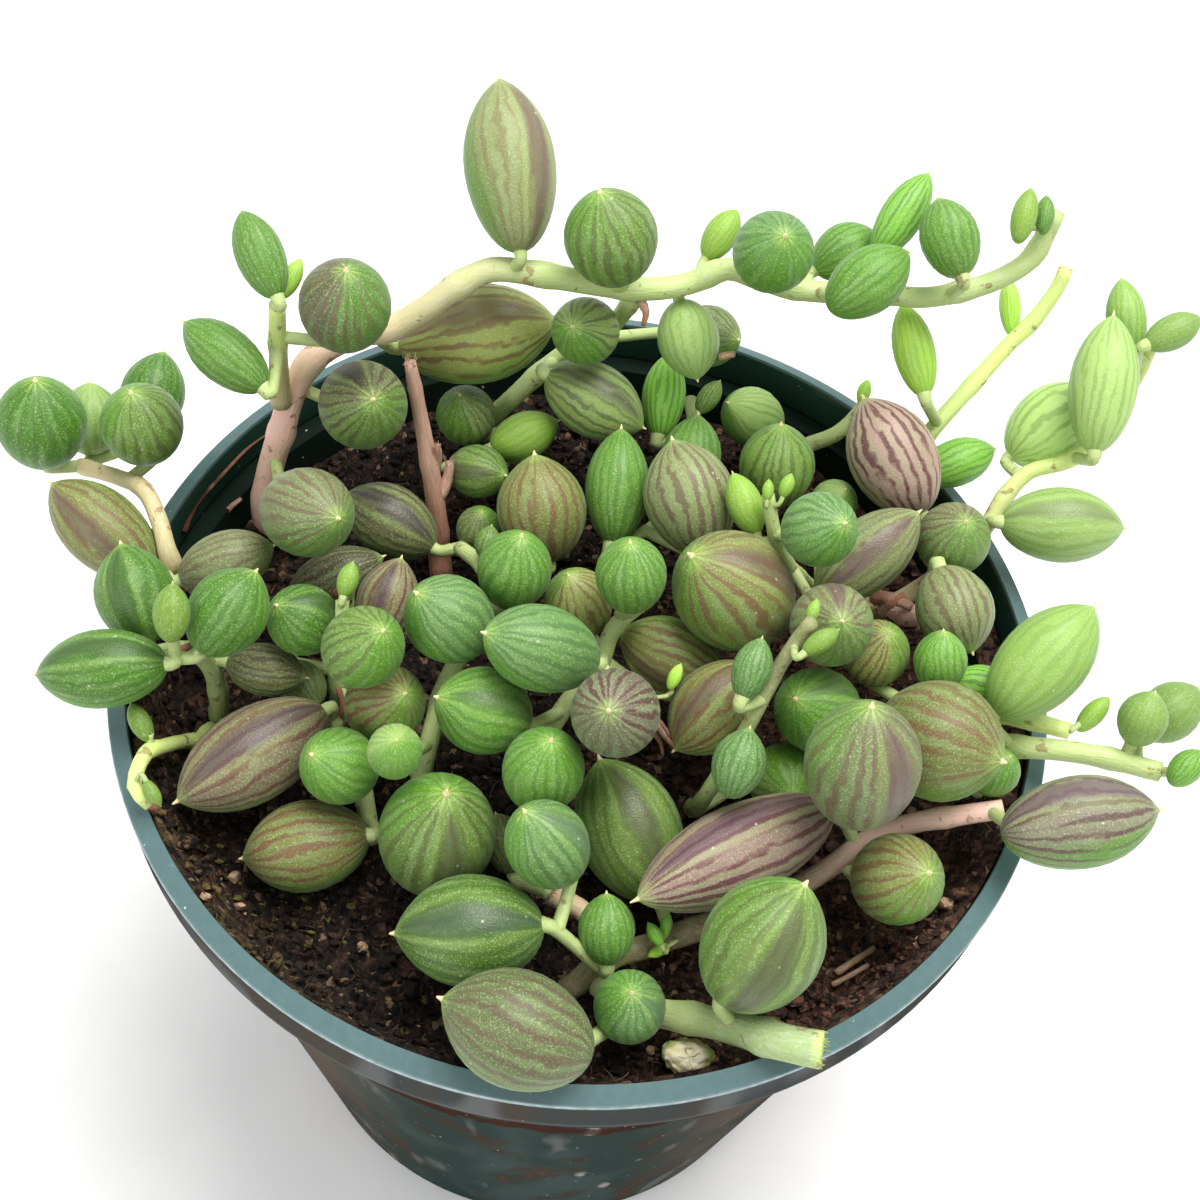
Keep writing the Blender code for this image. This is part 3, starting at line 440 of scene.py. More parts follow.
    ),
    stem_of(
        "leafy_stem_right_upper",
        Run(2.3, 1.7, (
            (884, 572, -10), (897, 522, -4), (915, 460, 2), (932, 430, 6), (965, 393, 9),
            (1010, 343, 13), (1048, 305, 17), (1066, 268, 21),
        ), "sap", "lime"),
        Leaf(914, 350, 903, 303, 42, 15, "young", light=1.3),
        Leaf(1014, 310, 1012, 280, 22, 15, "young", light=1.8),
        Leaf(897, 460, 868, 402, 88, 9, "rosy", light=1.6),
        Leaf(962, 461, 1000, 447, 48, 3, "bright", light=1.8),
    ),
    stem_of(
        "leafy_stem_right_middle",
        Run(2.1, 1.6, (
            (868, 612, -10), (888, 606, -4), (925, 584, -1), (960, 556, 1.5), (984, 530, 3),
            (1021, 477, 7), (1075, 458, 9), (1101, 431, 10), (1136, 378, 14), (1150, 348, 18),
        ), "blush", "lime"),
        Run(1.8, 2.6, ((888, 606, -4.5), (905, 616, -1), (926, 613, 1.5)), "pink", "pink"),
        Leaf(948, 541, 961, 524, 74, 7, "grey"),
        Leaf(958, 615, 975, 657, 78, 3, "grey", light=1.35),
        Leaf(1053, 430, 1096, 397, 80, 11, "pale", light=1.6),
        Leaf(1098, 385, 1108, 316, 68, 17, "pale", light=1.25),
        Leaf(1131, 322, 1126, 281, 40, 20, "lit"),
        Leaf(1172, 332, 1200, 318, 36, 22, "lit", light=0.75),
        Leaf(1062, 525, 1124, 528, 76, 8, "pale", (0, -16), light=0.92),
    ),
    stem_of(
        "leafy_stem_right_low",
        Run(2.5, 2.1, (
            (930, 770, -10), (950, 755, -5), (980, 745, 0), (1010, 746, 4), (1088, 754, 6),
            (1160, 772, 6),
        ), "lime", "sap"),
        Run(2.3, 1.8, (
            (962, 751, -3.5), (972, 728, 0), (1002, 715, 3), (1069, 731, 5),
        ), "lime", "lime"),
        Leaf(1141, 724, 1153, 698, 50, 9, "lit", light=0.8),
        Leaf(1170, 712, 1198, 688, 58, 7, "lit", light=0.66),
        Leaf(1180, 767, 1196, 750, 32, 8, "bright", light=1.25),
        Leaf(1088, 717, 1104, 700, 22, 6, "young"),
        Leaf(1038, 663, 1088, 609, 86, 10, "lit"),
        Leaf(940, 735, 1000, 755, 122, 8, "striped", light=0.75),
        Leaf(985, 682, 1014, 687, 44, 5, "bright", light=2.2),
        Leaf(1000, 775, 1015, 760, 50, 1, "bright"),
        Leaf(877, 655, 890, 635, 66, 9, "striped", light=1.2),
        Leaf(937, 660, 940, 630, 54, 6, "bright", light=1.35),
    ),
    stem_of(
        "seedling",
        Run(1.5, 1.5, (
            (212, 738, -10), (192, 740, -5), (160, 747, 1.5), (140, 758, 3.6), (131, 775, 3.8),
            (140, 795, 3), (150, 804, 2),
        ), "lime", "lime"),
        Leaf(142, 727, 132, 708, 22, 4, "young", light=0.45),
        Leaf(147, 795, 155, 808, 14, 3.5, "young", light=0.55),
    ),
    stem_of(
        "dry_stalk",
        Run(3.0, 1.3, ((441, 580, -10), (435, 500, 1), (423, 430, 9), (410, 362, 17)), "dry_foot", "dry"),
        Run(1.6, 0.9, ((436, 500, 1), (447, 480, 3), (450, 462, 5)), "dry", "dry"),
        Run(1.3, 0.8, ((431, 480, 3), (438, 458, 6), (437, 446, 8)), "dry", "dry"),
    ),
)

# Withered buds, husks, roots and straws, lying on the stems and the soil
DRY_BITS = (
    Run(1.6, 0.9, ((346, 602, 7), (340, 597, 8), (335, 589, 8.5)), "root", "root"),
    Run(0.7, 0.4, ((338, 688, -1), (343, 706, -2), (339, 721, -3), (343, 734, -4)), "dry_foot", "root"),
    Run(0.9, 0.8, ((720, 357, 15), (734, 354, 16)), "cream", "cream"),
    Run(1.2, 0.5, ((640, 300, 20), (646, 312, 19), (643, 326, 18)), "dry", "dry_foot"),
    Run(0.8, 0.4, ((652, 716, 9), (664, 728, 6), (671, 742, 3)), "dry_foot", "dry"),
    Run(0.7, 0.4, ((655, 722, 8), (666, 738, 5), (676, 748, 3)), "dry", "dry_foot"),
    Run(0.7, 0.3, ((650, 728, 7), (660, 742, 4), (663, 756, 2)), "dry_foot", "dry_foot"),
    Run(1.3, 0.7, ((176, 650, 8.4), (184, 649, 9), (191, 645, 9)), "dry", "dry_foot"),
    Run(0.8, 0.6, ((836, 973, -8.0), (857, 959, -7.7), (874, 948, -8.0)), "cream", "cream"),
    Run(0.6, 0.5, ((832, 985, -8.0), (851, 975, -7.8), (868, 965, -8.1)), "cream", "dry"),
    Run(1.0, 0.6, ((150, 804, 1), (158, 816, -2), (166, 828, -5), (171, 842, -8.4)), "dry_foot", "root"),
    Run(0.6, 0.3, (
        (184, 532, -3), (196, 505, -2.5), (222, 475, -2), (248, 448, -2), (272, 430, -2.5),
    ), "root", "dry_foot"),
    Run(0.9, 0.5, ((222, 517, -6), (232, 506, -5), (241, 499, -5)), "dry_foot", "dry"),
    Run(1.9, 1.0, ((874, 597, 0), (892, 599, 1.5), (912, 607, 1.5)), "dry_foot", "dry"),
    Run(1.4, 0.8, ((880, 612, -1), (892, 603, 1.5), (904, 595, 2)), "dry", "dry_foot"),
)


# Where everything grows


def unit(vector):
    return vector / np.linalg.norm(vector)


def clamp(share):
    return min(1.0, max(0.0, share))


def lengths_along(points):
    """How far along its route each point lies."""
    return np.concatenate([[0], np.cumsum(np.linalg.norm(np.diff(points, axis=0), axis=1))])


def view_axes():
    """The view's own right, down and forward directions."""
    forward = unit(AIM - EYE)
    right = unit(np.cross(forward, UP))
    down = np.cross(forward, right)
    return (
        right * math.cos(ROLL) - down * math.sin(ROLL),
        right * math.sin(ROLL) + down * math.cos(ROLL),
        forward,
    )


RIGHT, DOWN, FORWARD = view_axes()


def seen(across, down, lift):
    """The point at this lift, in metres over the rim, that the view shows at this place."""
    ray = FORWARD * FOCAL + RIGHT * (across - FRAME / 2) + DOWN * (down - FRAME / 2)
    return EYE + ray * ((RIM_HEIGHT + lift - EYE[2]) / ray[2])


def view_scale(point):
    """How many metres one pixel of the view spans at this point."""
    return (point - EYE) @ FORWARD / FOCAL


def leaf_shape(leaf, middle):
    """The half of a leaf's length that runs from its middle to its tip, and its radius."""
    scale = view_scale(middle)
    radius = 0.5 * leaf.wide * scale
    lean = (RIGHT * (leaf.tip_across - leaf.across) + DOWN * (leaf.tip_down - leaf.down)) * scale
    nod = max(leaf.nod * scale, math.sqrt(max(0.0, (LONG * radius) ** 2 - lean @ lean)))
    return lean + unit(EYE - middle) * nod, radius


def fullness(along):
    """The leaf's radius from 0 at its tail to 1 at its tip, as a share of its widest."""
    power = TAIL_FULLNESS + (TIP_FULLNESS - TAIL_FULLNESS) * along
    return (1 - (2 * along - 1) ** 2) ** power


BALL_FULLNESS = np.array([fullness(share) for share in BALL_SHARES])
BALL_STEPS = np.array([2 * share - 1 for share in BALL_SHARES])


def leaf_balls(leaf, middle):
    """Balls that stand for the leaf while the leaves are settled: their centres and radii."""
    half, radius = leaf_shape(leaf, middle)
    return middle + BALL_STEPS[:, None] * half, radius * BALL_FULLNESS


def smooth_route(points, step):
    """Points every step along a smooth curve through the given ones."""
    points = [np.asarray(point, float) for point in points]
    ends = [2 * points[0] - points[1]] + points + [2 * points[-1] - points[-2]]
    route = []
    for before, start, end, after in zip(ends, ends[1:], ends[2:], ends[3:]):
        count = max(1, round(np.linalg.norm(end - start) / step))
        for share in np.arange(count) / count:
            route.append(
                0.5 * (
                    2 * start
                    + (end - before) * share
                    + (2 * before - 5 * start + 4 * end - after) * share ** 2
                    + (3 * start - before - 3 * end + after) * share ** 3
                )
            )
    return route + [points[-1]]


def run_route(run, step):
    return smooth_route([seen(across, down, lift * MM) for across, down, lift in run.route], step)


def run_radii(run, count):
    return np.linspace(0.5 * run.wide * MM, 0.5 * run.thin * MM, count)


def run_balls(run):
    """Points close together along a run, and the run's radius at each."""
    points = np.array(run_route(run, DENSE_STEP))
    return points, run_radii(run, len(points))


def wall_radius(height):
    """The inside radius of the pot's wall at this height."""
    if height > INSIDE_SHELF:
        return INNER_RADIUS
    return BASE_RADIUS - WALL + (BODY_TOP_RADIUS - BASE_RADIUS) * max(0.0, height) / INSIDE_SHELF


def soil_height(x, y):
    wave = sum(math.sin(along * x + across * y + 1) for along, across in SOIL_WAVES) / len(SOIL_WAVES)
    return SOIL_TOP + SOIL_WAVE * wave


def bank_share(x, y):
    """How much of the bank stands here: none at the back, little beside the lump, all of it elsewhere."""
    turn = (math.atan2(y, x) - BANK_START) % (2 * math.pi)
    share = clamp(min(turn, BANK_TURN - turn) / BANK_FADE)
    from_lump = math.hypot(x - LUMP_MIDDLE[0], y - LUMP_MIDDLE[1])
    return share * clamp((from_lump - LUMP_CLEAR) / LUMP_SLOPE)


def ground_height(x, y):
    """The height of the peat with the bank that is heaped on it along the wall."""
    up = clamp((math.hypot(x, y) - BANK_FOOT) / (INNER_RADIUS - BANK_FOOT))
    low = soil_height(x, y)
    return low + (BANK_TOP - low) * up * up * (3 - 2 * up) * bank_share(x, y)


def rise_for_pot(centre, radius):
    """How far up a ball goes to clear the soil and the pot's lip."""
    x, y, z = centre
    reach = math.hypot(x, y)
    rises = [0.0]
    if reach < INNER_RADIUS:
        rises.append(soil_height(x, y) + CLEAR + radius - z)
    if reach + radius + CLEAR > INNER_RADIUS and reach < RIM_RADIUS + radius:
        inside = INNER_RADIUS < reach < RIM_RADIUS
        beside = 0.0 if inside else min(abs(reach - INNER_RADIUS), abs(reach - RIM_RADIUS))
        drop = math.sqrt(max(0.0, radius ** 2 - beside ** 2))
        rises.append(RIM_HEIGHT + LIP_RISE + CLEAR + drop - z)
    return max(rises)


def settle(stems):
    """Each leaf's middle, moved until no leaf shares space with another, the soil, the pot or a stem.

    A leaf moves mostly along its sight line, so that it is still seen where it was laid out.
    """
    leaves = [leaf for stem in stems for leaf in stem.leaves]
    owners = [stem.name for stem in stems for _ in stem.leaves]
    runs = [(stem.name, *run_balls(run)) for stem in stems for run in stem.runs]
    wood = np.concatenate([points for _, points, _ in runs])
    thick = np.concatenate([radii for _, _, radii in runs])
    starts = np.cumsum([0] + [len(points) for _, points, _ in runs])
    own = {name: np.repeat([owner == name for owner, _, _ in runs], np.diff(starts)) for name in set(owners)}
    places = np.array([seen(leaf.across, leaf.down, leaf.lift * MM) for leaf in leaves])
    sights = np.array([unit(place - EYE) for place in places])
    ball_leaf = np.repeat(np.arange(len(leaves)), BALLS)
    for _ in range(SETTLE_ROUNDS):
        shapes = [leaf_balls(leaf, place) for leaf, place in zip(leaves, places)]
        centres = np.concatenate([shape[0] for shape in shapes])
        radii = np.concatenate([shape[1] for shape in shapes])
        depth = (places - EYE) @ FORWARD
        gaps = np.linalg.norm(centres[:, None] - centres[None], axis=2)
        shared = radii[:, None] + radii[None] + CLEAR - gaps
        shared[ball_leaf[:, None] >= ball_leaf[None]] = 0
        moves = np.zeros(places.shape)
        meeting = {(ball_leaf[i], ball_leaf[j]) for i, j in zip(*np.nonzero(shared > 0))}
        for first, second in sorted(meeting):
            block = shared[first * BALLS:(first + 1) * BALLS, second * BALLS:(second + 1) * BALLS]
            i, j = np.unravel_index(block.argmax(), block.shape)
            apart = unit(centres[first * BALLS + i] - centres[second * BALLS + j])
            towards = -FORWARD if depth[first] < depth[second] else FORWARD
            move = SHARE * block.max() * unit(apart + DEPTH_SHARE * towards)
            moves[first] += move
            moves[second] -= move
        for index in range(len(leaves)):
            balls, sizes = shapes[index]
            away = balls[:, None] - wood[None]
            over = sizes[:, None] + thick[None] + CLEAR - np.linalg.norm(away, axis=2)
            over[0, own[owners[index]]] = -1
            most = np.maximum.reduceat(over.max(axis=0), starts[:-1])
            for number in np.nonzero(most > 0)[0]:
                piece = over[:, starts[number]:starts[number + 1]]
                i, j = np.unravel_index(piece.argmax(), piece.shape)
                moves[index] += SHARE * most[number] * unit(away[i, starts[number] + j])
        places += moves
        for index, leaf in enumerate(leaves):
            rise = max(rise_for_pot(*ball) for ball in zip(*leaf_balls(leaf, places[index])))
            along = (places[index] - EYE) @ sights[index]
            aside = places[index] - EYE - along * sights[index]
            aside *= min(1.0, SWAY / max(np.linalg.norm(aside), SWAY / 2))
            places[index] = EYE + (along + rise / sights[index][2]) * sights[index] + aside
    return dict(zip(leaves, places))


def sideways(direction):
    """Two directions across this one."""
    helper = UP if abs(direction[2]) < 0.9 else np.array((1.0, 0.0, 0.0))
    first = unit(np.cross(helper, direction))
    return first, np.cross(direction, first)


def turned_to(across, turn):
    """The direction at this angle from the first of two that lie across a line."""
    return across[0] * math.cos(turn) + across[1] * math.sin(turn)


def crossing(points, thick, others):
    """How deep a stalk along these points would run into the pot, the soil or other stems' balls."""
    centres, radii = others
    gaps = np.linalg.norm(points[:, None] - centres[None], axis=2) - radii[None] - thick - CLEAR
    deep = np.maximum(0.0, -gaps).max(axis=1, initial=0.0).sum()
    for point in points:
        reach = math.hypot(point[0], point[1])
        if point[2] > RIM_HEIGHT:
            deep += rise_for_pot(point, thick)
        elif reach < RIM_RADIUS:
            deep += max(0.0, soil_height(*point[:2]) + thick + CLEAR - point[2])
            deep += max(0.0, reach + thick + CLEAR - wall_radius(point[2]))
        else:
            deep += max(0.0, RIM_RADIUS + thick + CLEAR - reach)
    return deep


# Leaves whose stalks are led as listed, with the bends on the way: most of them go straight to their stem
TUCKED = {
    (518, 1022): ((602, 1032, -2), (628, 1012, -5)),
    (304, 517): ((284, 508, 3),),
    (1080, 822): (),
    (1088, 717): (),
    (1180, 767): (),
    (868, 279): (),
    (739, 768): (),
    (178, 613): (),
    (1028, 218): (),
    (1050, 217): (),
}
TUCK_DEPTH = 0.0018


def stalk_route(leaf, middle, grown, others):
    """The shortest bent way from a leaf's tail to its grown stem that runs into nothing else."""
    half, _ = leaf_shape(leaf, middle)
    tail = middle - half
    back = -unit(half)
    lead = tail + back * STALK_LEAD
    if (leaf.across, leaf.down) in TUCKED:
        bends = [seen(across, down, lift * MM) for across, down, lift in TUCKED[leaf.across, leaf.down]]
        inside = tail - back * TUCK_DEPTH
        last = bends[-1] if bends else tail
        joint = min(grown, key=lambda point: np.linalg.norm(point - last))
        return [inside, *bends, joint]
    reaches = np.linalg.norm(np.array(grown) - lead, axis=1)
    nearest = np.argsort(reaches, kind="stable")[:JOINTS_TRIED]
    centres, radii = others
    near = np.linalg.norm(centres - lead, axis=1) - radii < 2 * reaches[nearest[-1]] + 4 * STALK_LEAD
    others = (centres[near], radii[near])
    best = None
    for index in nearest:
        joint = grown[index]
        span = np.linalg.norm(joint - lead)
        if span < STALK_LEAD:
            ways = [[tail, joint]]
        else:
            across = sideways((joint - lead) / span)
            ways = []
            for swing in SWINGS:
                for side in range(SWING_SIDES if swing else 1):
                    aside = turned_to(across, 2 * math.pi * side / SWING_SIDES) * swing * span
                    bend = [0.5 * (lead + joint) + aside] if swing else []
                    ways.append([tail, lead, *bend, joint])
        for way in ways:
            points = np.array(smooth_route(way, DENSE_STEP))
            length = np.linalg.norm(np.diff(points, axis=0), axis=1).sum()
            cost = length + CROSSING_COST * crossing(points[:-1], STALK_RADIUS, others)
            if best is None or cost < least:
                least = cost
                best = way
    return best


def grow_stalks(stem, places, others):
    """Ties each leaf to its stem, nearest first, so that a later stalk can fork from an earlier one."""
    grown = [point for run in stem.runs for point in run_route(run, DENSE_STEP)]
    waiting = list(stem.leaves)
    stalks = []
    while waiting:
        tails = {leaf: places[leaf] - leaf_shape(leaf, places[leaf])[0] for leaf in waiting}
        wood = np.array(grown)
        leaf = min(waiting, key=lambda one: np.linalg.norm(wood - tails[one], axis=1).min())
        waiting.remove(leaf)
        way = stalk_route(leaf, places[leaf], grown, others)
        stalks.append((leaf, way))
        grown += smooth_route(way, DENSE_STEP)[2:]
    return stalks


def rooted(points):
    """The route with its foot turned down into the soil, if it starts there."""
    if points[0][2] > SOIL_TOP:
        return points
    foot = np.array((*points[0][:2], SOIL_TOP))
    ahead = [point for point in points if point[2] > SOIL_TOP + 2 * ROOT_RISE]
    return smooth_route([foot - UP * ROOT_DEPTH, foot + UP * ROOT_RISE, *ahead[::4], ahead[-1]], STEM_STEP)


# Finishes


def screen(red, green, blue):
    """A screen colour, 0 to 255, as the linear one that a material takes."""
    return tuple(
        value / 255 / 12.92 if value < 10.3 else ((value / 255 + 0.055) / 1.055) ** 2.4
        for value in (red, green, blue)
    )


class Value:
    """A number, place or colour that a material works out at each point, for use in plain sums."""

    def __init__(self, socket):
        self.socket = socket

    def __add__(self, other):
        return maths("ADD", self, other)

    def __sub__(self, other):
        return maths("SUBTRACT", self, other)

    def __rsub__(self, other):
        return maths("SUBTRACT", other, self)

    def __mul__(self, other):
        return maths("MULTIPLY", self, other)

    def __abs__(self):
        return maths("ABSOLUTE", self)

    def fade(self, low, high, start, end):
        """Start where the value is under low, end where it is over high, smooth between."""
        values = {"Value": self, "From Min": low, "From Max": high, "To Min": start, "To Max": end}
        return Value(step("MapRange", values, interpolation_type="SMOOTHSTEP").outputs[0])

    def rise(self, low, high, most=1.0):
        return self.fade(low, high, 0.0, most)

    def fall(self, low, high, most=1.0):
        return self.fade(low, high, most, 0.0)

    def split(self):
        return [Value(part) for part in step("SeparateXYZ", {0: self}).outputs]

    def stretch(self, scale, shift=(0, 0, 0)):
        return Value(step("Mapping", {"Vector": self, "Scale": scale, "Location": shift}).outputs[0])

    def noise(self, scale, detail=2.0, rough=0.5, twist=0.0, output="Fac"):
        values = {"Vector": self, "Scale": scale, "Detail": detail, "Roughness": rough, "Distortion": twist}
        return Value(step("TexNoise", values).outputs[output])

    def cells(self, scale):
        """How far each point is from the middle of its cell, and the cell's own random colour."""
        outputs = step("TexVoronoi", {"Vector": self, "Scale": scale}).outputs
        return Value(outputs["Distance"]), Value(outputs["Color"])


def feed(socket, value):
    """Gives a node's input what a material works out, or a plain number or colour."""
    if isinstance(value, Value):
        socket.id_data.links.new(value.socket, socket)
    elif socket.type == "RGBA":
        socket.default_value = (*value, 1)
    else:
        socket.default_value = value


def step(kind, values, **settings):
    """One more node, in the material that these values are worked out in."""
    tree = next(value.socket.id_data for value in values.values() if isinstance(value, Value))
    node = tree.nodes.new("ShaderNode" + kind)
    for name, value in settings.items():
        setattr(node, name, value)
    for name, value in values.items():
        feed(node.inputs[name], value)
    return node


def maths(operation, *values):
    return Value(step("Math", dict(enumerate(values)), operation=operation).outputs[0])


def blend(share, first, second):
    """The first colour, with this share of the second in it."""
    mix = step("Mix", {0: share, 6: first, 7: second}, data_type="RGBA", clamp_factor=True)
    return Value(mix.outputs[2])


SHADER_SOCKETS = {
    "shine": "Specular IOR Level",
    "bloom": "Sheen Weight",
    "bloom_spread": "Sheen Roughness",
    "bloom_tint": "Sheen Tint",
    "coat_spread": "Coat Roughness",
}


class Finish:
    """A material: what it reads at each point of a mesh, and what its surface gets in the end."""

    def __init__(self, name, **gloss):
        self.material = bpy.data.materials.new(name)
        self.material.use_nodes = True
        self.tree = self.material.node_tree
        self.shader = self.tree.nodes["Principled BSDF"]
        for socket, value in gloss.items():
            self.shader.inputs[SHADER_SOCKETS[socket]].default_value = value

    def place(self):
        return Value(self.tree.nodes.new("ShaderNodeTexCoord").outputs["Object"])

    def kept(self, name, output="Color"):
        """What is kept on the mesh's points under this name."""
        node = self.tree.nodes.new("ShaderNodeAttribute")
        node.attribute_name = name
        return Value(node.outputs[output])

    def done(self, colour, rough, height=None, depth=0.0):
        feed(self.shader.inputs["Base Color"], colour)
        feed(self.shader.inputs["Roughness"], rough)
        if height is not None:
            bump = step("Bump", {"Height": height, "Strength": 1.0, "Distance": depth})
            feed(self.shader.inputs["Normal"], Value(bump.outputs[0]))
        return self.material


STRIPES = 19
PALE_SPECK = screen(188, 206, 156)
UNDER_GREEN = screen(82, 138, 22)
TIP_CREAM = screen(226, 208, 160)
RAY_GREEN = screen(160, 186, 96)
FROST_GREEN = screen(142, 168, 112)
DUST = screen(222, 216, 208)
SCAR = screen(146, 104, 72)


def leaf_skin():
    """Skin with wavy stripes that run together at the tip, a clear window, fine pale grain and a bloom."""
    skin = Finish("leaf_skin", shine=0.34, bloom=0.10, bloom_spread=0.4, bloom_tint=(0.66, 0.86, 0.76, 1))
    stripe = skin.kept("leaf_stripe")
    striped = skin.kept("leaf_stripe", "Alpha")
    clear = skin.kept("leaf_window", "Alpha")
    place = skin.place()
    x, y, along = skin.kept("leaf_place", "Vector").split()
    turn = maths("ARCTAN2", y, x)
    cosine = maths("COSINE", turn)
    circle = {0: cosine + skin.kept("leaf_seed", "Fac"), 1: maths("SINE", turn), 2: along * 0.9}
    circle = Value(step("CombineXYZ", circle).outputs[0])
    # Stripes that wander a little, swell and thin, and run on to the tip
    wander = circle.noise(1.2, 0.0) - 0.5
    ripple = circle.stretch((0.8, 0.8, 2.2)).noise(3.2, 1.0) - 0.5
    phase = turn * STRIPES + wander * 9.0 + ripple * 4.0
    swell = circle.stretch((4.0, 4.0, 1.1)).noise(1.6, 0.0) - 0.5
    wave = swell * 2.8 + maths("SINE", phase)
    lines = (wave - along.rise(0.84, 1.0, 1.1)).rise(-0.15, 1.0)
    # The window: a band along one side that narrows towards the tip and the tail
    width = along * along * -0.14 + 0.30
    off = abs(turn) - width + ripple * 0.16
    window = off.fall(-0.16, 0.12) * along.fall(0.72, 0.96) * clear
    border = off.rise(0.0, 0.12) * off.fall(0.14, 0.36) * clear
    # The side away from the window is a plainer, brighter green
    facing = wander * 1.2 + cosine
    ground = blend(facing.rise(0.2, 1.1, 0.26) * striped, skin.kept("leaf_tint"), stripe)
    ground = blend(facing.fall(-0.45, 0.5) * skin.kept("leaf_tint", "Alpha"), ground, UNDER_GREEN)
    ground = blend(swell.rise(-0.15, 0.25, 0.28), ground, FROST_GREEN)
    colour = blend(lines * striped * facing.fade(-0.9, 0.2, 0.45, 1.0), ground, stripe)
    colour = blend(border * 0.15, colour, RAY_GREEN)
    grain = place.noise(5200.0, 1.0, 0.6)
    bare = 1.0 - (lines * 0.55 + window * 0.45)
    colour = blend(grain.rise(0.48, 0.76, 0.38) * bare, colour, PALE_SPECK)
    colour = blend(window * 0.7, colour, skin.kept("leaf_window"))
    # Pale rays round the tip, its cream point, and a little dust
    rays = maths("SINE", phase * 0.5).fade(-0.2, 0.7, 0.15, 0.75)
    colour = blend(along.rise(0.86, 0.99) * rays, colour, RAY_GREEN)
    colour = blend(along.rise(0.985, 1.01), colour, TIP_CREAM)
    motes, _ = place.cells(620.0)
    colour = blend(motes.fall(0.05, 0.12, 0.45) * swell.rise(0.06, 0.16), colour, DUST)
    return skin.done(colour, grain.fade(0.3, 0.7, 0.38, 0.54) - window * 0.12, grain, 0.00005)


def stem_skin():
    """Fleshy stem skin with lengthwise grain, pale bloom and a few corky scars."""
    skin = Finish("stem_skin", shine=0.4)
    place = skin.place()
    tint = skin.kept("stem_tint")
    grain = skin.kept("stem_place", "Vector").stretch((1, 1, 90)).noise(7.0, 3.0)
    colour = blend(grain.rise(0.35, 0.7, 0.5), tint, blend(0.4, tint, DUST))
    colour = blend(place.noise(170.0).rise(0.45, 0.75, 0.22), colour, RAY_GREEN)
    scars = place.noise(700.0, 3.0).rise(0.62, 0.70) * 0.65
    colour = blend(scars, colour, SCAR)
    colour = blend(place.noise(2600.0, 1.0).rise(0.56, 0.72, 0.22), colour, DUST)
    return skin.done(colour, grain.fade(0.3, 0.7, 0.42, 0.60), grain + scars, 0.00012)


def dry_wood():
    """Dead stalk: pinkish brown, split into long pale fibres."""
    wood = Finish("dry_wood", shine=0.2)
    tint = wood.kept("stem_tint")
    fibres = wood.kept("stem_place", "Vector").stretch((1, 1, 40)).noise(9.0, 4.0, 0.65)
    colour = blend(fibres.rise(0.42, 0.62), blend(0.25, tint, screen(130, 84, 68)), tint)
    blotch = wood.place().noise(420.0, 3.0)
    colour = blend(blotch.rise(0.55, 0.75, 0.5), colour, screen(228, 192, 168))
    return wood.done(colour, 0.8, fibres, 0.0005)


def soil_sides(colour, place):
    """Soil: darker in a band left of the middle, lighter and redder on the right as painted light, mossy near
    the front left edge.
    """
    x, y, _ = place.split()
    fine = place.noise(1100.0, 4.0, 0.7)
    # Darker in a band left of the middle.
    dark_band = x.rise(-0.036, -0.028, 0.7) * x.fall(-0.004, 0.010) * fine.fade(0.42, 0.56, 1.0, 0.2)
    colour = blend(dark_band, colour, screen(5, 4, 4))
    # Painted light: the right side of the soil, where the light falls, is made lighter and redder.
    dry = x.rise(0.004, 0.024, 0.6) * fine.rise(0.47, 0.60)
    colour = blend(dry, colour, screen(122, 82, 62))
    left = (y * 0.8 + x).fall(-0.062, -0.050) * place.noise(160.0).rise(0.38, 0.56)
    moss = left * place.noise(900.0, 5.0, 0.7).rise(0.50, 0.56, 0.85)
    return blend(moss, colour, screen(116, 98, 56))


def peat():
    """Damp dark peat in small grains, with reddish fibre, pale grit and moss near the front left."""
    soil = Finish("peat", shine=0.35)
    place = soil.place()
    clods = place.noise(650.0, 8.0, 0.8)
    shaken = {0: 0.0006, 4: place, 5: place.noise(900.0, output="Color")}
    shaken = Value(step("Mix", shaken, data_type="VECTOR").outputs[1])
    distance, shade = shaken.cells(1500.0)
    red, wet, grit = shade.split()
    colour = blend(clods.rise(0.42, 0.62), screen(7, 6, 5), screen(66, 47, 38))
    colour = blend(red.rise(0.55, 1.0, 0.85), colour, screen(112, 80, 62))
    colour = blend(wet.rise(0.72, 1.0, 0.9), colour, screen(10, 8, 8))
    # The soil's sides, with painted light on the right.
    colour = soil_sides(colour, place)
    colour = blend(grit.rise(0.91, 0.96, 0.8), colour, screen(172, 140, 108))
    threads = place.stretch((4.5, 1, 2), (0.2, 0.1, 0)).noise(700.0, 3.0, 0.6, 1.6)
    colour = blend(threads.rise(0.60, 0.70, 0.6), colour, screen(140, 104, 80))
    return soil.done(colour, wet.fade(0.3, 0.9, 0.85, 0.5), distance * -0.5 + clods, 0.0013)


# Loose bits on the soil: their dark, light and speck colours
LOOSE_TONES = {
    "peat_crumb": ((8, 6, 5), (46, 32, 26), (96, 67, 52)),
    "white_grit": ((150, 116, 90), (206, 178, 146), (180, 150, 110)),
    "peat_fibre": ((30, 20, 16), (88, 62, 48), (134, 106, 80)),
    "moss": ((56, 52, 20), (122, 118, 56), (86, 72, 36)),
}


def crumb(name):
    """Loose crumbs in the soil, each a little different."""
    dark, light, speck = (screen(*tone) for tone in LOOSE_TONES[name])
    loose = Finish(name, shine=0.25)
    place = loose.place()
    grain = place.noise(900.0, 4.0, 0.65)
    colour = blend(grain.rise(0.35, 0.65), dark, light)
    colour = blend(place.noise(260.0).rise(0.52, 0.70, 0.6), colour, speck)
    # The crumbs take the soil's sides too, with its painted light on the right.
    return loose.done(soil_sides(colour, place), 0.85, grain, 0.0004)


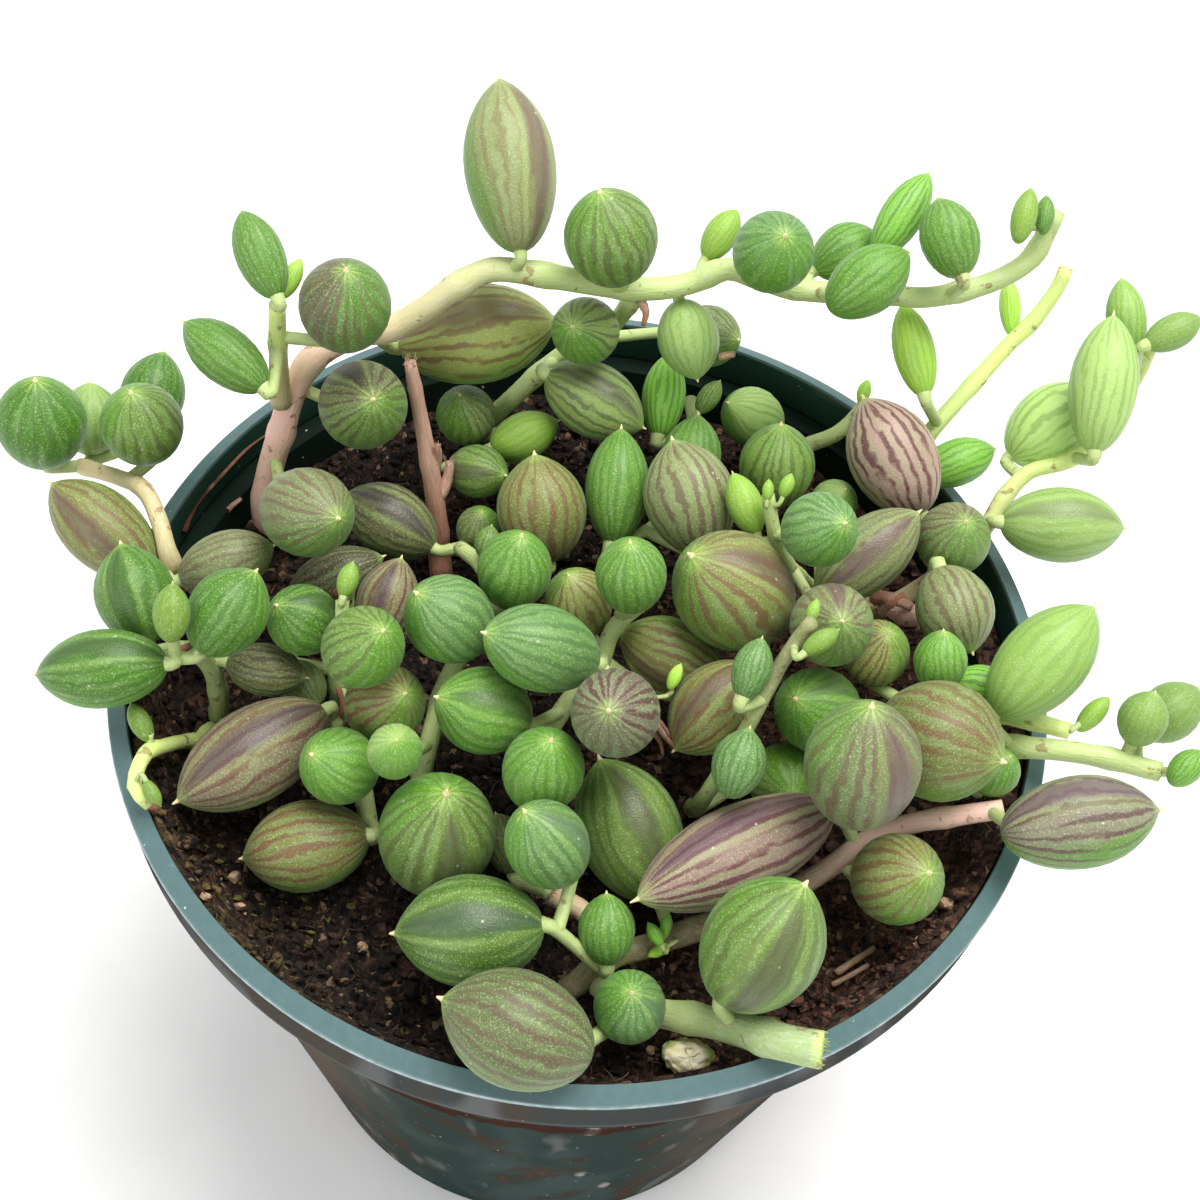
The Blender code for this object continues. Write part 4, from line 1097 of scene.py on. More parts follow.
def perlite():
    """The cream lump: pitted, with a star of cracks and a touch of green at its foot."""
    stone = Finish("perlite", shine=0.25)
    place = stone.place()
    pits = place.noise(1300.0, 3.0, 0.6)
    colour = blend(pits.rise(0.3, 0.6), screen(244, 226, 174), screen(255, 250, 216))
    middle = seen(LUMP_ACROSS + 2, LUMP_DOWN, LUMP_SIZE[2] - SOIL_BELOW_RIM)
    x, y, _ = place.stretch((1, 1, 1), tuple(-middle)).split()
    out = maths("SQRT", x * x + y * y)
    bent = place.noise(900.0, 1.0) * 2.4 + maths("ARCTAN2", y, x)
    star = abs(maths("SINE", bent * 2.0))
    cracks = star.fall(0.03, 0.18, 0.7) * out.fall(0.0005, 0.0014)
    algae = place.noise(420.0, 2.0).rise(0.36, 0.54) * out.rise(0.0012, 0.0022, 0.85)
    colour = blend(algae, colour, screen(146, 164, 58))
    colour = blend(cracks, colour, screen(96, 70, 44))
    return stone.done(colour, 0.8, pits - cracks, 0.0002)


def pot_plastic():
    """Thin green plastic: a smooth lip, a smoky skirt, and a body that shows the soil behind it."""
    shell = Finish("pot_plastic", shine=0.0, coat_spread=0.16)
    place = shell.place()
    x, y, z = place.split()
    reach = maths("SQRT", x * x + y * y)
    scuffs = place.noise(900.0, 2.0, 0.6)
    # Lip and skirt: the skirt smoky and brownish, with soft paler patches and a pale edge at its foot
    lip = blend(scuffs.rise(0.2, 0.8), screen(80, 105, 106), screen(86, 111, 111))
    streaks = place.stretch((1, 1, 0.12)).noise(150.0, 2.0)
    skirt = blend(streaks.rise(0.42, 0.60), screen(66, 70, 70), screen(74, 70, 64))
    patches = place.stretch((1, 1, 0.4), (0.2, 0, 0)).noise(120.0, 1.0)
    skirt = blend(patches.rise(0.52, 0.66, 0.6), skirt, screen(112, 114, 116))
    skirt = blend(z.fall(SHELF + 0.0003, SHELF + 0.0011, 0.4), skirt, screen(110, 112, 110))
    # Body: peat pressed dark and reddish against smoky green plastic, browner towards the sides
    clouds = place.stretch((1, 1, 0.5)).noise(90.0, 2.0)
    body = blend(clouds.rise(0.38, 0.62), screen(50, 62, 59), screen(64, 76, 73))
    earth = place.stretch((1, 1, 0.5), (0.3, 0.1, 0)).noise(170.0, 4.0, 0.6)
    body = blend(earth.rise(0.50, 0.66, 0.7), body, screen(64, 54, 47))
    body = blend(earth.rise(0.64, 0.74, 0.6), body, screen(96, 66, 52))
    flank = abs(x).rise(0.010, 0.026)
    film = place.stretch((1, 1, 0.35), (0.1, 0.2, 0)).noise(60.0, 3.0, 0.6)
    body = blend(film.fade(0.36, 0.60, 0.25, 0.85) * flank, body, screen(96, 82, 74))
    # Pale smears and grit behind the wall, and a ragged line of dirt a little under the skirt
    smears = place.stretch((1, 1, 0.22), (0, 0.3, 0)).noise(210.0, 2.0)
    body = blend(smears.rise(0.60, 0.74, 0.4), body, screen(124, 124, 120))
    soft = place.noise(700.0, 1.0)
    distance, shade = place.stretch((1, 1, 0.32)).cells(290.0)
    blots = (soft * 0.30 + distance).fall(0.24, 0.46, 0.75) * shade.split()[0].rise(0.86, 0.88)
    body = blend(blots, body, screen(160, 158, 152))
    ragged = earth * 0.012 + z
    dirt = ragged.rise(SHELF - 0.0134, SHELF - 0.0122, 0.85) * ragged.fall(SHELF - 0.0098, SHELF - 0.0086)
    body = blend(dirt * flank.fade(0.0, 0.7, 1.0, 0.2), body, screen(62, 36, 29))
    # The lip's outer edge catches the light: a painted highlight along it
    colour = blend(z.rise(SHELF - 0.0003, SHELF + 0.0001), body, skirt)
    top = z.rise(RIM_HEIGHT - 0.0008, RIM_HEIGHT - 0.0002)
    colour = blend(top, colour, lip)
    shine = z.rise(RIM_HEIGHT - 0.0008, RIM_HEIGHT - 0.0004) * z.fall(RIM_HEIGHT - 0.0003, RIM_HEIGHT)
    colour = blend(shine * scuffs.fade(0.35, 0.65, 0.45, 0.8), colour, screen(190, 206, 212))
    # Inside: plain deep green down the wall, with painted shade on the shelf, and dulled by the soil along
    # the front
    wall_middle = z * ((BODY_TOP_RADIUS - BASE_RADIUS) / SHELF) + (BASE_RADIUS - 0.5 * WALL)
    under_skirt = (reach - wall_middle).fall(-0.0002, 0.0002)
    in_skirt = reach.fall(INNER_RADIUS + 0.0001, INNER_RADIUS + 0.0004)
    above = z.rise(SHELF + 0.4 * WALL, SHELF + 0.6 * WALL)
    inner = under_skirt * (1.0 - above) + in_skirt * above
    inner = inner * z.fall(RIM_HEIGHT + 0.0003, RIM_HEIGHT + 0.0006)
    colour = blend(inner, colour, screen(36, 62, 52))
    # Painted shade: the shelf and the wall under it darkened, so that the shelf lies as dark as the shaded
    # wall.
    shelf_shade = z.fall(INSIDE_SHELF + 0.0002, INSIDE_SHELF + 0.0007, 0.85)
    colour = blend(inner * shelf_shade, colour, screen(24, 30, 26))
    smeared = (earth * 0.003 + z).fall(RIM_HEIGHT + 0.0006, RIM_HEIGHT + 0.0014, 0.9)
    colour = blend(smeared * y.fall(-0.004, 0.012) * inner, colour, screen(38, 30, 24))
    dust, _ = place.cells(900.0)
    colour = blend(dust.fall(0.05, 0.16, 0.9) * soft.rise(0.62, 0.70), colour, DUST)
    feed(shell.shader.inputs["Coat Weight"], top * 0.6)
    return shell.done(colour, scuffs.fade(0.3, 0.7, 0.34, 0.5), scuffs, 0.00003)


def table_top():
    """The plain pale floor."""
    floor = Finish("pale_floor", shine=0.1)
    grain = floor.place().noise(60.0, 4.0)
    return floor.done(blend(grain.rise(0.3, 0.7), (0.86, 0.86, 0.855), (0.89, 0.89, 0.885)), 0.9)


# Shaping by hand


def alone(thing):
    """Selects only this object and makes it the active one."""
    bpy.ops.object.select_all(action="DESELECT")
    thing.select_set(True)
    bpy.context.view_layer.objects.active = thing


def added(name, primitive, **settings):
    """One of Blender's plain shapes, under this name."""
    bpy.ops.object.select_all(action="DESELECT")
    primitive(**settings)
    bpy.context.object.name = name
    return bpy.context.object


def open_all():
    """Goes into edit mode with the whole mesh picked."""
    bpy.ops.object.mode_set(mode="EDIT")
    bpy.ops.mesh.select_all(action="SELECT")


def close_all():
    """Turns all faces outwards and leaves edit mode."""
    bpy.ops.mesh.select_all(action="SELECT")
    bpy.ops.mesh.normals_make_consistent(inside=False)
    bpy.ops.object.mode_set(mode="OBJECT")


def dressed(thing, material):
    thing.data.materials.clear()
    thing.data.materials.append(material)


def finished(thing, material, sharp=None):
    alone(thing)
    dressed(thing, material)
    if sharp is None:
        bpy.ops.object.shade_smooth()
    else:
        bpy.ops.object.shade_smooth_by_angle(angle=math.radians(sharp))


def joined(things, name):
    alone(things[0])
    for thing in things:
        thing.select_set(True)
    bpy.ops.object.join()
    things[0].name = name
    things[0].data.name = name
    return things[0]


def copy_of(master, matrix):
    """A copy with its own mesh, its place kept in the mesh."""
    mesh = master.data.copy()
    mesh.transform(matrix)
    thing = bpy.data.objects.new(master.name, mesh)
    bpy.context.scene.collection.objects.link(thing)
    return thing


def axes_matrix(first, second, third, middle):
    return Matrix(((*first, 0), (*second, 0), (*third, 0), (*middle, 1))).transposed()


READERS = {"FLOAT": "value", "FLOAT_VECTOR": "vector", "FLOAT_COLOR": "color"}


def keep(mesh, name, kind, values):
    """Keeps something on every point of the mesh, for its material to read."""
    layer = mesh.attributes.new(name, kind, "POINT")
    layer.data.foreach_set(READERS[kind], np.asarray(values, np.float32).ravel())


def pick_ring(thing, height, within):
    """Selects, in edit mode, the points that lie at this height."""
    bpy.ops.mesh.select_all(action="DESELECT")
    bpy.ops.object.mode_set(mode="OBJECT")
    for vertex in thing.data.vertices:
        vertex.select = abs(vertex.co.z - height) < within
    bpy.ops.object.mode_set(mode="EDIT")


def leaf_pattern(name, sides, rings):
    """One leaf, a unit wide and long: a ball drawn in ring by ring to a blunt tail and a pointed tip."""
    leaf = added(name, bpy.ops.mesh.primitive_uv_sphere_add, segments=sides, ring_count=rings, radius=1)
    body = rings - 1 - len(NUB)
    alongs = [0.5 - 0.5 * math.cos(math.pi * ring / (body + 1.6)) for ring in range(1, body + 1)]
    plan = [(0.0, 0.0), *((along, fullness(along)) for along in alongs), *NUB, (NUB_END, 0.0)]
    heights = [-math.cos(math.pi * ring / rings) for ring in range(rings + 1)]
    within = 0.3 * (heights[1] - heights[0])
    bpy.ops.object.mode_set(mode="EDIT")
    bpy.ops.mesh.select_mode(type="VERT")
    # Lifted clear first, so that no moved ring is picked up with one still waiting
    for height, (along, wide) in list(zip(heights, plan))[::-1]:
        pick_ring(leaf, height, within)
        if wide:
            size = wide / math.sqrt(1 - height ** 2)
            bpy.ops.transform.resize(value=(size, size, 1), center_override=(0, 0, 0))
        bpy.ops.transform.translate(value=(0, 0, 2 * along - 1 - height + CLEAR_LIFT))
    bpy.ops.mesh.select_all(action="SELECT")
    bpy.ops.transform.translate(value=(0, 0, -CLEAR_LIFT))
    close_all()
    keep(leaf.data, "leaf_place", "FLOAT_VECTOR", [vertex.co for vertex in leaf.data.vertices])
    return leaf


def window_side(leaf, middle, half, radius):
    """The direction across the leaf that its window faces, or its upper side if the window is hidden."""
    if leaf.window is None:
        facing = UP + 0.15 * unit(EYE - middle)
    else:
        aside = (RIGHT * leaf.window[0] + DOWN * leaf.window[1]) * view_scale(middle)
        facing = aside + unit(EYE - middle) * math.sqrt(max((0.2 * radius) ** 2, radius ** 2 - aside @ aside))
    axis = unit(half)
    across = facing - axis * (facing @ axis)
    return unit(across) if np.linalg.norm(across) > 0.05 * radius else sideways(axis)[0]


def add_leaf(leaf, middle, patterns, luck):
    half, radius = leaf_shape(leaf, middle)
    first = window_side(leaf, middle, half, radius)
    second = np.cross(unit(half), first)
    matrix = axes_matrix(first * radius, second * radius, half, middle)
    thing = copy_of(patterns[leaf.wide <= SMALL_LEAF], matrix)
    tone = LEAF_TONES[leaf.tone]
    # Painted light and shade: the skin colour is scaled by the leaf's light factor, with a little random
    # tone.
    light = luck.uniform(0.94, 1.06) * leaf.light
    skin = [value * light for value in screen(*tone.skin)]
    stripes = tone.stripes * luck.uniform(0.85, 1.1)
    clear = 0.0 if leaf.window is None else 1.0
    count = len(thing.data.vertices)
    for name, colour, alpha in (
        ("leaf_tint", skin, tone.under),
        ("leaf_stripe", screen(*tone.stripe), stripes),
        ("leaf_window", screen(*tone.window), clear),
    ):
        keep(thing.data, name, "FLOAT_COLOR", np.tile((*colour, alpha), count))
    keep(thing.data, "leaf_seed", "FLOAT", np.full(count, luck.uniform(2, 60)))
    return thing


def drawn_stem(name, points, radii, foot, head, roundness, turn=0.5, cut=None):
    """A stem drawn as a curve of changing thickness, then made a mesh with its length kept on it."""
    curve = bpy.data.curves.new(name, "CURVE")
    curve.dimensions = "3D"
    curve.bevel_depth = 1.0
    curve.bevel_resolution = roundness
    curve.use_fill_caps = True
    spline = curve.splines.new("POLY")
    spline.points.add(len(points) - 1)
    for knot, point, radius in zip(spline.points, points, radii):
        knot.co = (*point, 1)
        knot.radius = radius
    thing = bpy.data.objects.new(name, curve)
    bpy.context.scene.collection.objects.link(thing)
    alone(thing)
    bpy.ops.object.convert(target="MESH")
    open_all()
    bpy.ops.mesh.remove_doubles(threshold=SAME_POINT)
    close_all()
    spots = np.array([vertex.co for vertex in thing.data.vertices])
    route = np.array(points)
    nearest = np.linalg.norm(spots[:, None] - route[None], axis=2).argmin(axis=1)
    lengths = lengths_along(route)
    x, y, z = ((spots - route[nearest]) / np.array(radii)[nearest][:, None]).T
    keep(thing.data, "stem_place", "FLOAT_VECTOR", np.column_stack([x + z, y - z, lengths[nearest]]))
    share = (lengths[nearest] / lengths[-1])[:, None]
    share = np.clip((share - turn) / TONE_TURN + 0.5, 0, 1)
    colours = np.array(screen(*STEM_TONES[foot])) * (1 - share) + np.array(screen(*STEM_TONES[head])) * share
    if cut:
        colours[nearest == len(route) - 1] = screen(*STEM_TONES[cut])
    keep(thing.data, "stem_tint", "FLOAT_COLOR", np.column_stack([colours, np.ones(len(colours))]))
    return thing


def stem_radii(run, points):
    """The run's thickness, a little swollen where leaves once grew."""
    lengths = lengths_along(np.array(points))
    from_joint = np.abs((lengths + 0.4 * JOINT_SPACING) % JOINT_SPACING - 0.5 * JOINT_SPACING)
    return run_radii(run, len(points)) * (1 + JOINT_SWELL * np.exp(-((from_joint / JOINT_LENGTH) ** 2)))


def frayed_end(run, tone, luck):
    """Torn fibres standing round a cut end."""
    points = run_route(run, STEM_STEP)
    ahead = unit(points[-1] - points[-2])
    across = sideways(ahead)
    radius = 0.5 * run.thin * MM
    fibres = []
    for _ in range(14 if run.thin < 2 else 36):
        aside = turned_to(across, luck.uniform(0, 2 * math.pi))
        foot = points[-1] + aside * radius * luck.uniform(0.35, 0.95) - ahead * FRAY_SINK
        lean = ahead * luck.uniform(0.4, 1.1) + aside * luck.uniform(-0.2, 0.7)
        tip = foot + lean * luck.uniform(0.0004, 0.0012)
        route = [foot, 0.5 * (foot + tip) + aside * FRAY_BEND, tip]
        fibres.append(drawn_stem("fibre", route, FRAY_RADII, tone, tone, 0))
    return fibres


def add_plant(stem, stalks, places, patterns, materials, luck):
    """One stem with its runs, stalks and leaves, as one piece."""
    wood = []
    for number, run in enumerate(stem.runs):
        points = rooted(run_route(run, STEM_STEP))
        cut = dict(FRAYED.get(stem.name, ())).get(number)
        look = (run.foot, run.head, STEM_ROUNDNESS, run.turn, cut)
        wood.append(drawn_stem(f"{stem.name}_run", points, stem_radii(run, points), *look))
    for leaf, way in stalks:
        route = smooth_route([way[0] + unit(way[0] - way[1]) * STALK_SINK] + way[1:], STALK_STEP)
        share = np.linspace(0, 1, len(route))
        end = SHOOT_RADIUS if len(way) > 3 else STALK_RADIUS * STALK_FOOT
        slim = min(1.0, leaf.wide / FULL_STALK_LEAF)
        radii = (STALK_RADIUS * (1 + STALK_SWELL * (1 - share) ** 6) * (1 - share) + end * share) * slim
        wood.append(drawn_stem(f"{stem.name}_stalk", route, radii, "sap", "sap", STALK_ROUNDNESS))
    for number, tone in FRAYED.get(stem.name, ()):
        wood += frayed_end(stem.runs[number], tone, luck)
    leaves = [add_leaf(leaf, places[leaf], patterns, luck) for leaf, _ in stalks]
    for thing in wood:
        dressed(thing, materials["dry_wood" if stem.name == "dry_stalk" else "stem_skin"])
    for thing in leaves:
        dressed(thing, materials["leaf_skin"])
    piece = joined(wood + leaves, stem.name.replace("leafy_stem", "plant") + "_grown")
    bpy.ops.object.shade_smooth()
    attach(piece, "root")
    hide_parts(stem.name)


def turned(name, profile, sides, closed_top):
    """A body turned from a ring that is drawn out from one profile point to the next."""
    radius, height = profile[0]
    ring = {"vertices": sides, "radius": radius, "location": (0, 0, height), "fill_type": "NGON"}
    thing = added(name, bpy.ops.mesh.primitive_circle_add, **ring)
    bpy.ops.object.transform_apply(location=True, rotation=True, scale=True)
    bpy.ops.object.mode_set(mode="EDIT")
    bpy.ops.mesh.select_mode(type="EDGE")
    bpy.ops.mesh.select_all(action="SELECT")
    bpy.ops.mesh.region_to_loop()
    for new_radius, new_height in profile[1:]:
        bpy.ops.mesh.extrude_edges_move(TRANSFORM_OT_translate={"value": (0, 0, new_height - height)})
        size = new_radius / radius
        bpy.ops.transform.resize(value=(size, size, 1), center_override=(0, 0, new_height))
        radius, height = new_radius, new_height
    if closed_top:
        bpy.ops.mesh.edge_face_add()
    else:
        bpy.ops.mesh.merge(type="CENTER")
    bpy.ops.mesh.select_all(action="SELECT")
    bpy.ops.mesh.remove_doubles(threshold=SAME_POINT)
    close_all()
    return thing


def add_pot(material):
    crest = RIM_HEIGHT + LIP_RISE
    skirt = RIM_RADIUS - SKIRT_DRAFT
    profile = [(BASE_RADIUS - BASE_ROUND, 0), (BASE_RADIUS - 0.3 * BASE_ROUND, 0.3 * BASE_ROUND)]
    for share in np.arange(BODY_STEPS + 1) / BODY_STEPS:
        out = BASE_RADIUS + (BODY_TOP_RADIUS - BASE_RADIUS) * share
        profile.append((out, BASE_ROUND + (SHELF - BASE_ROUND) * share))
    profile += [
        (skirt - SKIRT_FOLD, SHELF),
        (skirt, SHELF + SKIRT_FOLD),
        (RIM_RADIUS - 0.2 * SKIRT_DRAFT, RIM_HEIGHT - 4 * LIP_ROUND),
        (RIM_RADIUS, RIM_HEIGHT - LIP_ROUND),
        (RIM_RADIUS - 0.3 * LIP_ROUND, RIM_HEIGHT - 0.3 * LIP_ROUND),
        (RIM_RADIUS - LIP_ROUND, RIM_HEIGHT),
        (INNER_RADIUS + LIP_ROUND, crest - 0.05 * MM),
        (INNER_RADIUS + 0.4 * LIP_ROUND, crest),
        (INNER_RADIUS, crest - LIP_ROUND),
        (INNER_RADIUS, INSIDE_SHELF),
        (wall_radius(INSIDE_SHELF), INSIDE_SHELF),
        (wall_radius(FLOOR), FLOOR),
    ]
    pot = turned("nursery_pot", profile, POT_SIDES, True)
    for hole in range(DRAIN_HOLES):
        turn = 2 * math.pi * (hole + 0.5) / DRAIN_HOLES
        place = (DRAIN_CIRCLE * math.cos(turn), DRAIN_CIRCLE * math.sin(turn), 0)
        size = {"vertices": 32, "radius": DRAIN_RADIUS, "depth": 4 * FLOOR}
        drill = added("drill", bpy.ops.mesh.primitive_cylinder_add, location=place, **size)
        alone(pot)
        bore = pot.modifiers.new("drain_hole", "BOOLEAN")
        bore.operation = "DIFFERENCE"
        bore.object = drill
        bpy.ops.object.modifier_apply(modifier=bore.name)
        bpy.data.objects.remove(drill)
    finished(pot, material, 35)
    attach(pot, "root")
    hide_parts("pot")


def roughen(thing, name, scale, strength, group="", direction="Z", middle=0.5):
    """Lifts and sinks the surface by a cloudy texture, kept in the mesh."""
    grain = bpy.data.textures.new(name, "CLOUDS")
    grain.noise_scale = scale
    lift = thing.modifiers.new(name, "DISPLACE")
    lift.texture = grain
    lift.direction = direction
    lift.strength = strength
    lift.mid_level = middle
    lift.vertex_group = group
    alone(thing)
    bpy.ops.object.modifier_apply(modifier=lift.name)


def add_soil(material):
    edge = wall_radius(SOIL_TOP) - SOIL_GAP
    profile = [(wall_radius(FLOOR) - SOIL_GAP, FLOOR + SOIL_GAP), (edge, SOIL_TOP - 2 * MM), (edge, SOIL_TOP)]
    profile += [(edge * ring / SOIL_RINGS, SOIL_TOP) for ring in range(SOIL_RINGS - 1, 0, -1)]
    soil = turned("peat_bed", profile, SOIL_SIDES, False)
    upper = soil.vertex_groups.new(name="upper")
    for vertex in soil.data.vertices:
        if vertex.co.z > SOIL_TOP - MM:
            upper.add([vertex.index], 1.0, "REPLACE")
            vertex.co.z = soil_height(vertex.co.x, vertex.co.y)
    roughen(soil, "clods", 0.0030, 0.0014, "upper")
    roughen(soil, "crumbs", 0.0009, 0.0014, "upper")
    finished(soil, material)
    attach(soil, "root")
    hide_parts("soil")


def add_peat_bank(material):
    """Peat heaped against the wall: its section drawn as a strip, swept round and heaped up."""
    edge = wall_radius(INSIDE_SHELF) - SOIL_GAP
    outer = INNER_RADIUS - 0.5 * SOIL_GAP

    def under(reach):
        """The height of the bank's underside: in the soil, or just over the shelf."""
        return SOIL_TOP - MM if reach < edge else INSIDE_SHELF + OVER_SHELF

    grid = {"x_subdivisions": BANK_COLUMNS, "y_subdivisions": 1, "size": 1}
    bank = added("peat_bank", bpy.ops.mesh.primitive_grid_add, **grid)
    for vertex in bank.data.vertices:
        reach = BANK_FOOT + (outer - BANK_FOOT) * (vertex.co.x + 0.5)
        height = BANK_TOP if vertex.co.y > 0 else under(reach)
        vertex.co = (reach * math.cos(BANK_START), reach * math.sin(BANK_START), height)
    open_all()
    bpy.ops.mesh.spin(steps=BANK_STEPS, angle=-BANK_TURN, center=(0, 0, 0), axis=(0, 0, 1))
    close_all()
    upper = bank.vertex_groups.new(name="upper")
    for vertex in bank.data.vertices:
        if vertex.co.z > BANK_TOP - 1e-5:
            x, y, _ = vertex.co
            reach = math.hypot(x, y)
            vertex.co.z = max(ground_height(x, y) - BANK_SINK, under(reach) + BANK_LEAST)
            near_wall = 1 - BANK_CALM * max(0.0, reach - edge) / (outer - edge)
            upper.add([vertex.index], near_wall * min(1.0, 1.2 * bank_share(x, y)), "REPLACE")
    roughen(bank, "heaped_clods", 0.0024, 0.0012, "upper")
    roughen(bank, "heaped_crumbs", 0.0009, 0.0012, "upper")
    finished(bank, material)
    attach(bank, "root")


def crumb_pattern(seed):
    """A crumb: a box rounded by one smooth cut and knocked about."""
    pattern = added(f"crumb_{seed}", bpy.ops.mesh.primitive_cube_add, size=1)
    open_all()
    bpy.ops.mesh.subdivide(number_cuts=1, smoothness=0.6)
    bpy.ops.transform.vertex_random(offset=0.30, seed=seed)
    bpy.ops.object.mode_set(mode="OBJECT")
    return pattern


def fibre_pattern(bend):
    """A bent fibre, a unit long: a square end drawn out in short steps."""
    end = {"location": (-0.5, 0, 0), "rotation": (0, math.pi / 2, 0)}
    square = {"vertices": 4, "radius": 0.045, "fill_type": "NGON"}
    fibre = added(f"fibre_{bend}", bpy.ops.mesh.primitive_circle_add, **square, **end)
    bpy.ops.object.transform_apply(location=True, rotation=True, scale=True)
    bpy.ops.object.mode_set(mode="EDIT")
    bpy.ops.mesh.select_mode(type="FACE")
    bpy.ops.mesh.select_all(action="SELECT")
    for step in range(5):
        move = (0.2, 0.016 * bend * (step - 2), 0.02 * (2 - step))
        bpy.ops.mesh.extrude_region_move(TRANSFORM_OT_translate={"value": move})
    close_all()
    return fibre


def scattered(name, patterns, spots, material, luck, flat=0.7, long=2.0):
    """Copies of the patterns at these places and sizes, as one piece."""
    things = []
    for place, size in spots:
        angle = luck.uniform(0, 6.3)
        turn = Matrix.Rotation(angle, 4, Vector([luck.gauss(0, 1) for _ in range(3)]))
        sides = (luck.uniform(0.7, long), luck.uniform(0.6, 1.1), flat)
        stretch = Matrix.Diagonal((*(size * side for side in sides), 1))
        things.append(copy_of(luck.choice(patterns), Matrix.Translation(Vector(place)) @ stretch @ turn))
    piece = joined(things, name)
    finished(piece, material, 25)
    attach(piece, "root")


def soil_spot(luck, reach):
    """A place on the peat, and where the bank stands, on the bank."""
    turn = luck.uniform(0, 2 * math.pi)
    heaped = bank_share(math.cos(turn), math.sin(turn)) > 0.6
    out = (INNER_RADIUS - 0.0008 if heaped else reach) * math.sqrt(luck.random())
    x, y = out * math.cos(turn), out * math.sin(turn)
    return x, y, ground_height(x, y)


def add_loose_bits(materials, luck):
    """Peat crumbs, white grit, moss and dry fibres lying on the soil."""
    patterns = [crumb_pattern(seed) for seed in range(6)]
    reach = wall_radius(SOIL_TOP) - 0.0012
    spots = []
    for _ in range(CRUMBS):
        size = luck.uniform(*(SMALL_CRUMB if luck.random() < SMALL_CRUMBS else LARGE_CRUMB))
        x, y, z = soil_spot(luck, reach)
        spots.append(((x, y, z + 0.0003 + 0.2 * size), size))
    scattered("peat_crumbs", patterns, spots, materials["peat_crumb"], luck, 0.8, 1.5)
    spots = []
    for _ in range(GRITS):
        size = luck.uniform(*GRIT)
        x, y, z = soil_spot(luck, reach)
        spots.append(((x, y, z + 0.4 * size), size))
    for across, down, size in PALE_GRITS:
        x, y, _ = seen(across, down, -SOIL_BELOW_RIM)
        spots.append(((x, y, ground_height(x, y) + 0.4 * size * MM), size * MM))
    scattered("white_grit", patterns, spots, materials["white_grit"], luck, 0.8, 1.3)
    spots = []
    for across, down, spread, pieces in MOSS_PATCHES:
        for _ in range(pieces):
            size = luck.uniform(*MOSS)
            aside, below = luck.gauss(0, spread), luck.gauss(0, 0.6 * spread)
            x, y, _ = seen(across + aside, down + below, -SOIL_BELOW_RIM)
            if math.hypot(x, y) < reach:
                spots.append(((x, y, ground_height(x, y) + 0.4 * size), size))
    scattered("moss_bits", patterns, spots, materials["moss"], luck)
    threads = [fibre_pattern(bend) for bend in (-2, -1, 1, 2)]
    strewn = []
    for _ in range(FIBRES):
        x, y, z = soil_spot(luck, reach - 0.0012)
        length = luck.uniform(*FIBRE)
        turn = Matrix.Rotation(luck.uniform(0, 6.3), 4, "Z") @ Matrix.Rotation(luck.gauss(0, 0.22), 4, "Y")
        size = Matrix.Diagonal((length, length, luck.uniform(0.6, 1.0) * length, 1))
        place = Matrix.Translation(Vector((x, y, z + luck.uniform(*FIBRE_LIFT))))
        strewn.append(copy_of(luck.choice(threads), place @ turn @ size))
    finished(joined(strewn, "peat_fibres"), materials["peat_fibre"])
    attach(bpy.context.object, "root")
    for pattern in patterns + threads:
        bpy.data.objects.remove(pattern)


def add_dry_bits(material):
    """Withered buds, husks, roots and straws."""
    bits = []
    for run in DRY_BITS:
        points = run_route(run, 0.0006)
        radii = run_radii(run, len(points)) * (1 + 0.07 * np.sin(np.arange(len(points)) * 1.9))
        bits.append(drawn_stem("dry_bit", points, radii, run.foot, run.head, 1))
    piece = joined(bits, "dry_bits")
    finished(piece, material)
    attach(piece, "root")


def add_perlite_lump(material):
    """The cream lump on the soil, knobbly and dented."""
    lump = added("cream_lump", bpy.ops.mesh.primitive_ico_sphere_add, subdivisions=5, radius=0.5)
    open_all()
    bpy.ops.transform.resize(value=LUMP_SIZE)
    bpy.ops.object.mode_set(mode="OBJECT")
    x, y, _ = seen(LUMP_ACROSS, LUMP_DOWN, LUMP_SIZE[2] / 2 - SOIL_BELOW_RIM)
    place = Vector((x, y, soil_height(x, y) + SOIL_WAVE + LUMP_SIZE[2] / 2))
    lump.data.transform(Matrix.Translation(place))
    roughen(lump, "knobs", 0.0017, 0.0010, direction="NORMAL", middle=0.62)
    roughen(lump, "pits", 0.0005, 0.0003, direction="NORMAL", middle=0.62)
    finished(lump, material)
    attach(lump, "root")
    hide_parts("perlite_lump")


# Floor, light and camera


def add_floor(material):
    floor = added("pale_floor", bpy.ops.mesh.primitive_plane_add, size=6, location=(0, 0, -0.0002))
    bpy.ops.object.transform_apply(location=True, rotation=True, scale=True)
    floor.data.materials.append(material)


def add_softbox(name, place, size, power, colour):
    light = bpy.data.lights.new(name, "AREA")
    light.shape = "DISK"
    light.size = size
    light.energy = power
    light.color = colour
    lamp = bpy.data.objects.new(name, light)
    lamp.location = place
    lamp.rotation_euler = (Vector((0, 0, RIM_HEIGHT)) - Vector(place)).to_track_quat("-Z", "Y").to_euler()
    bpy.context.scene.collection.objects.link(lamp)


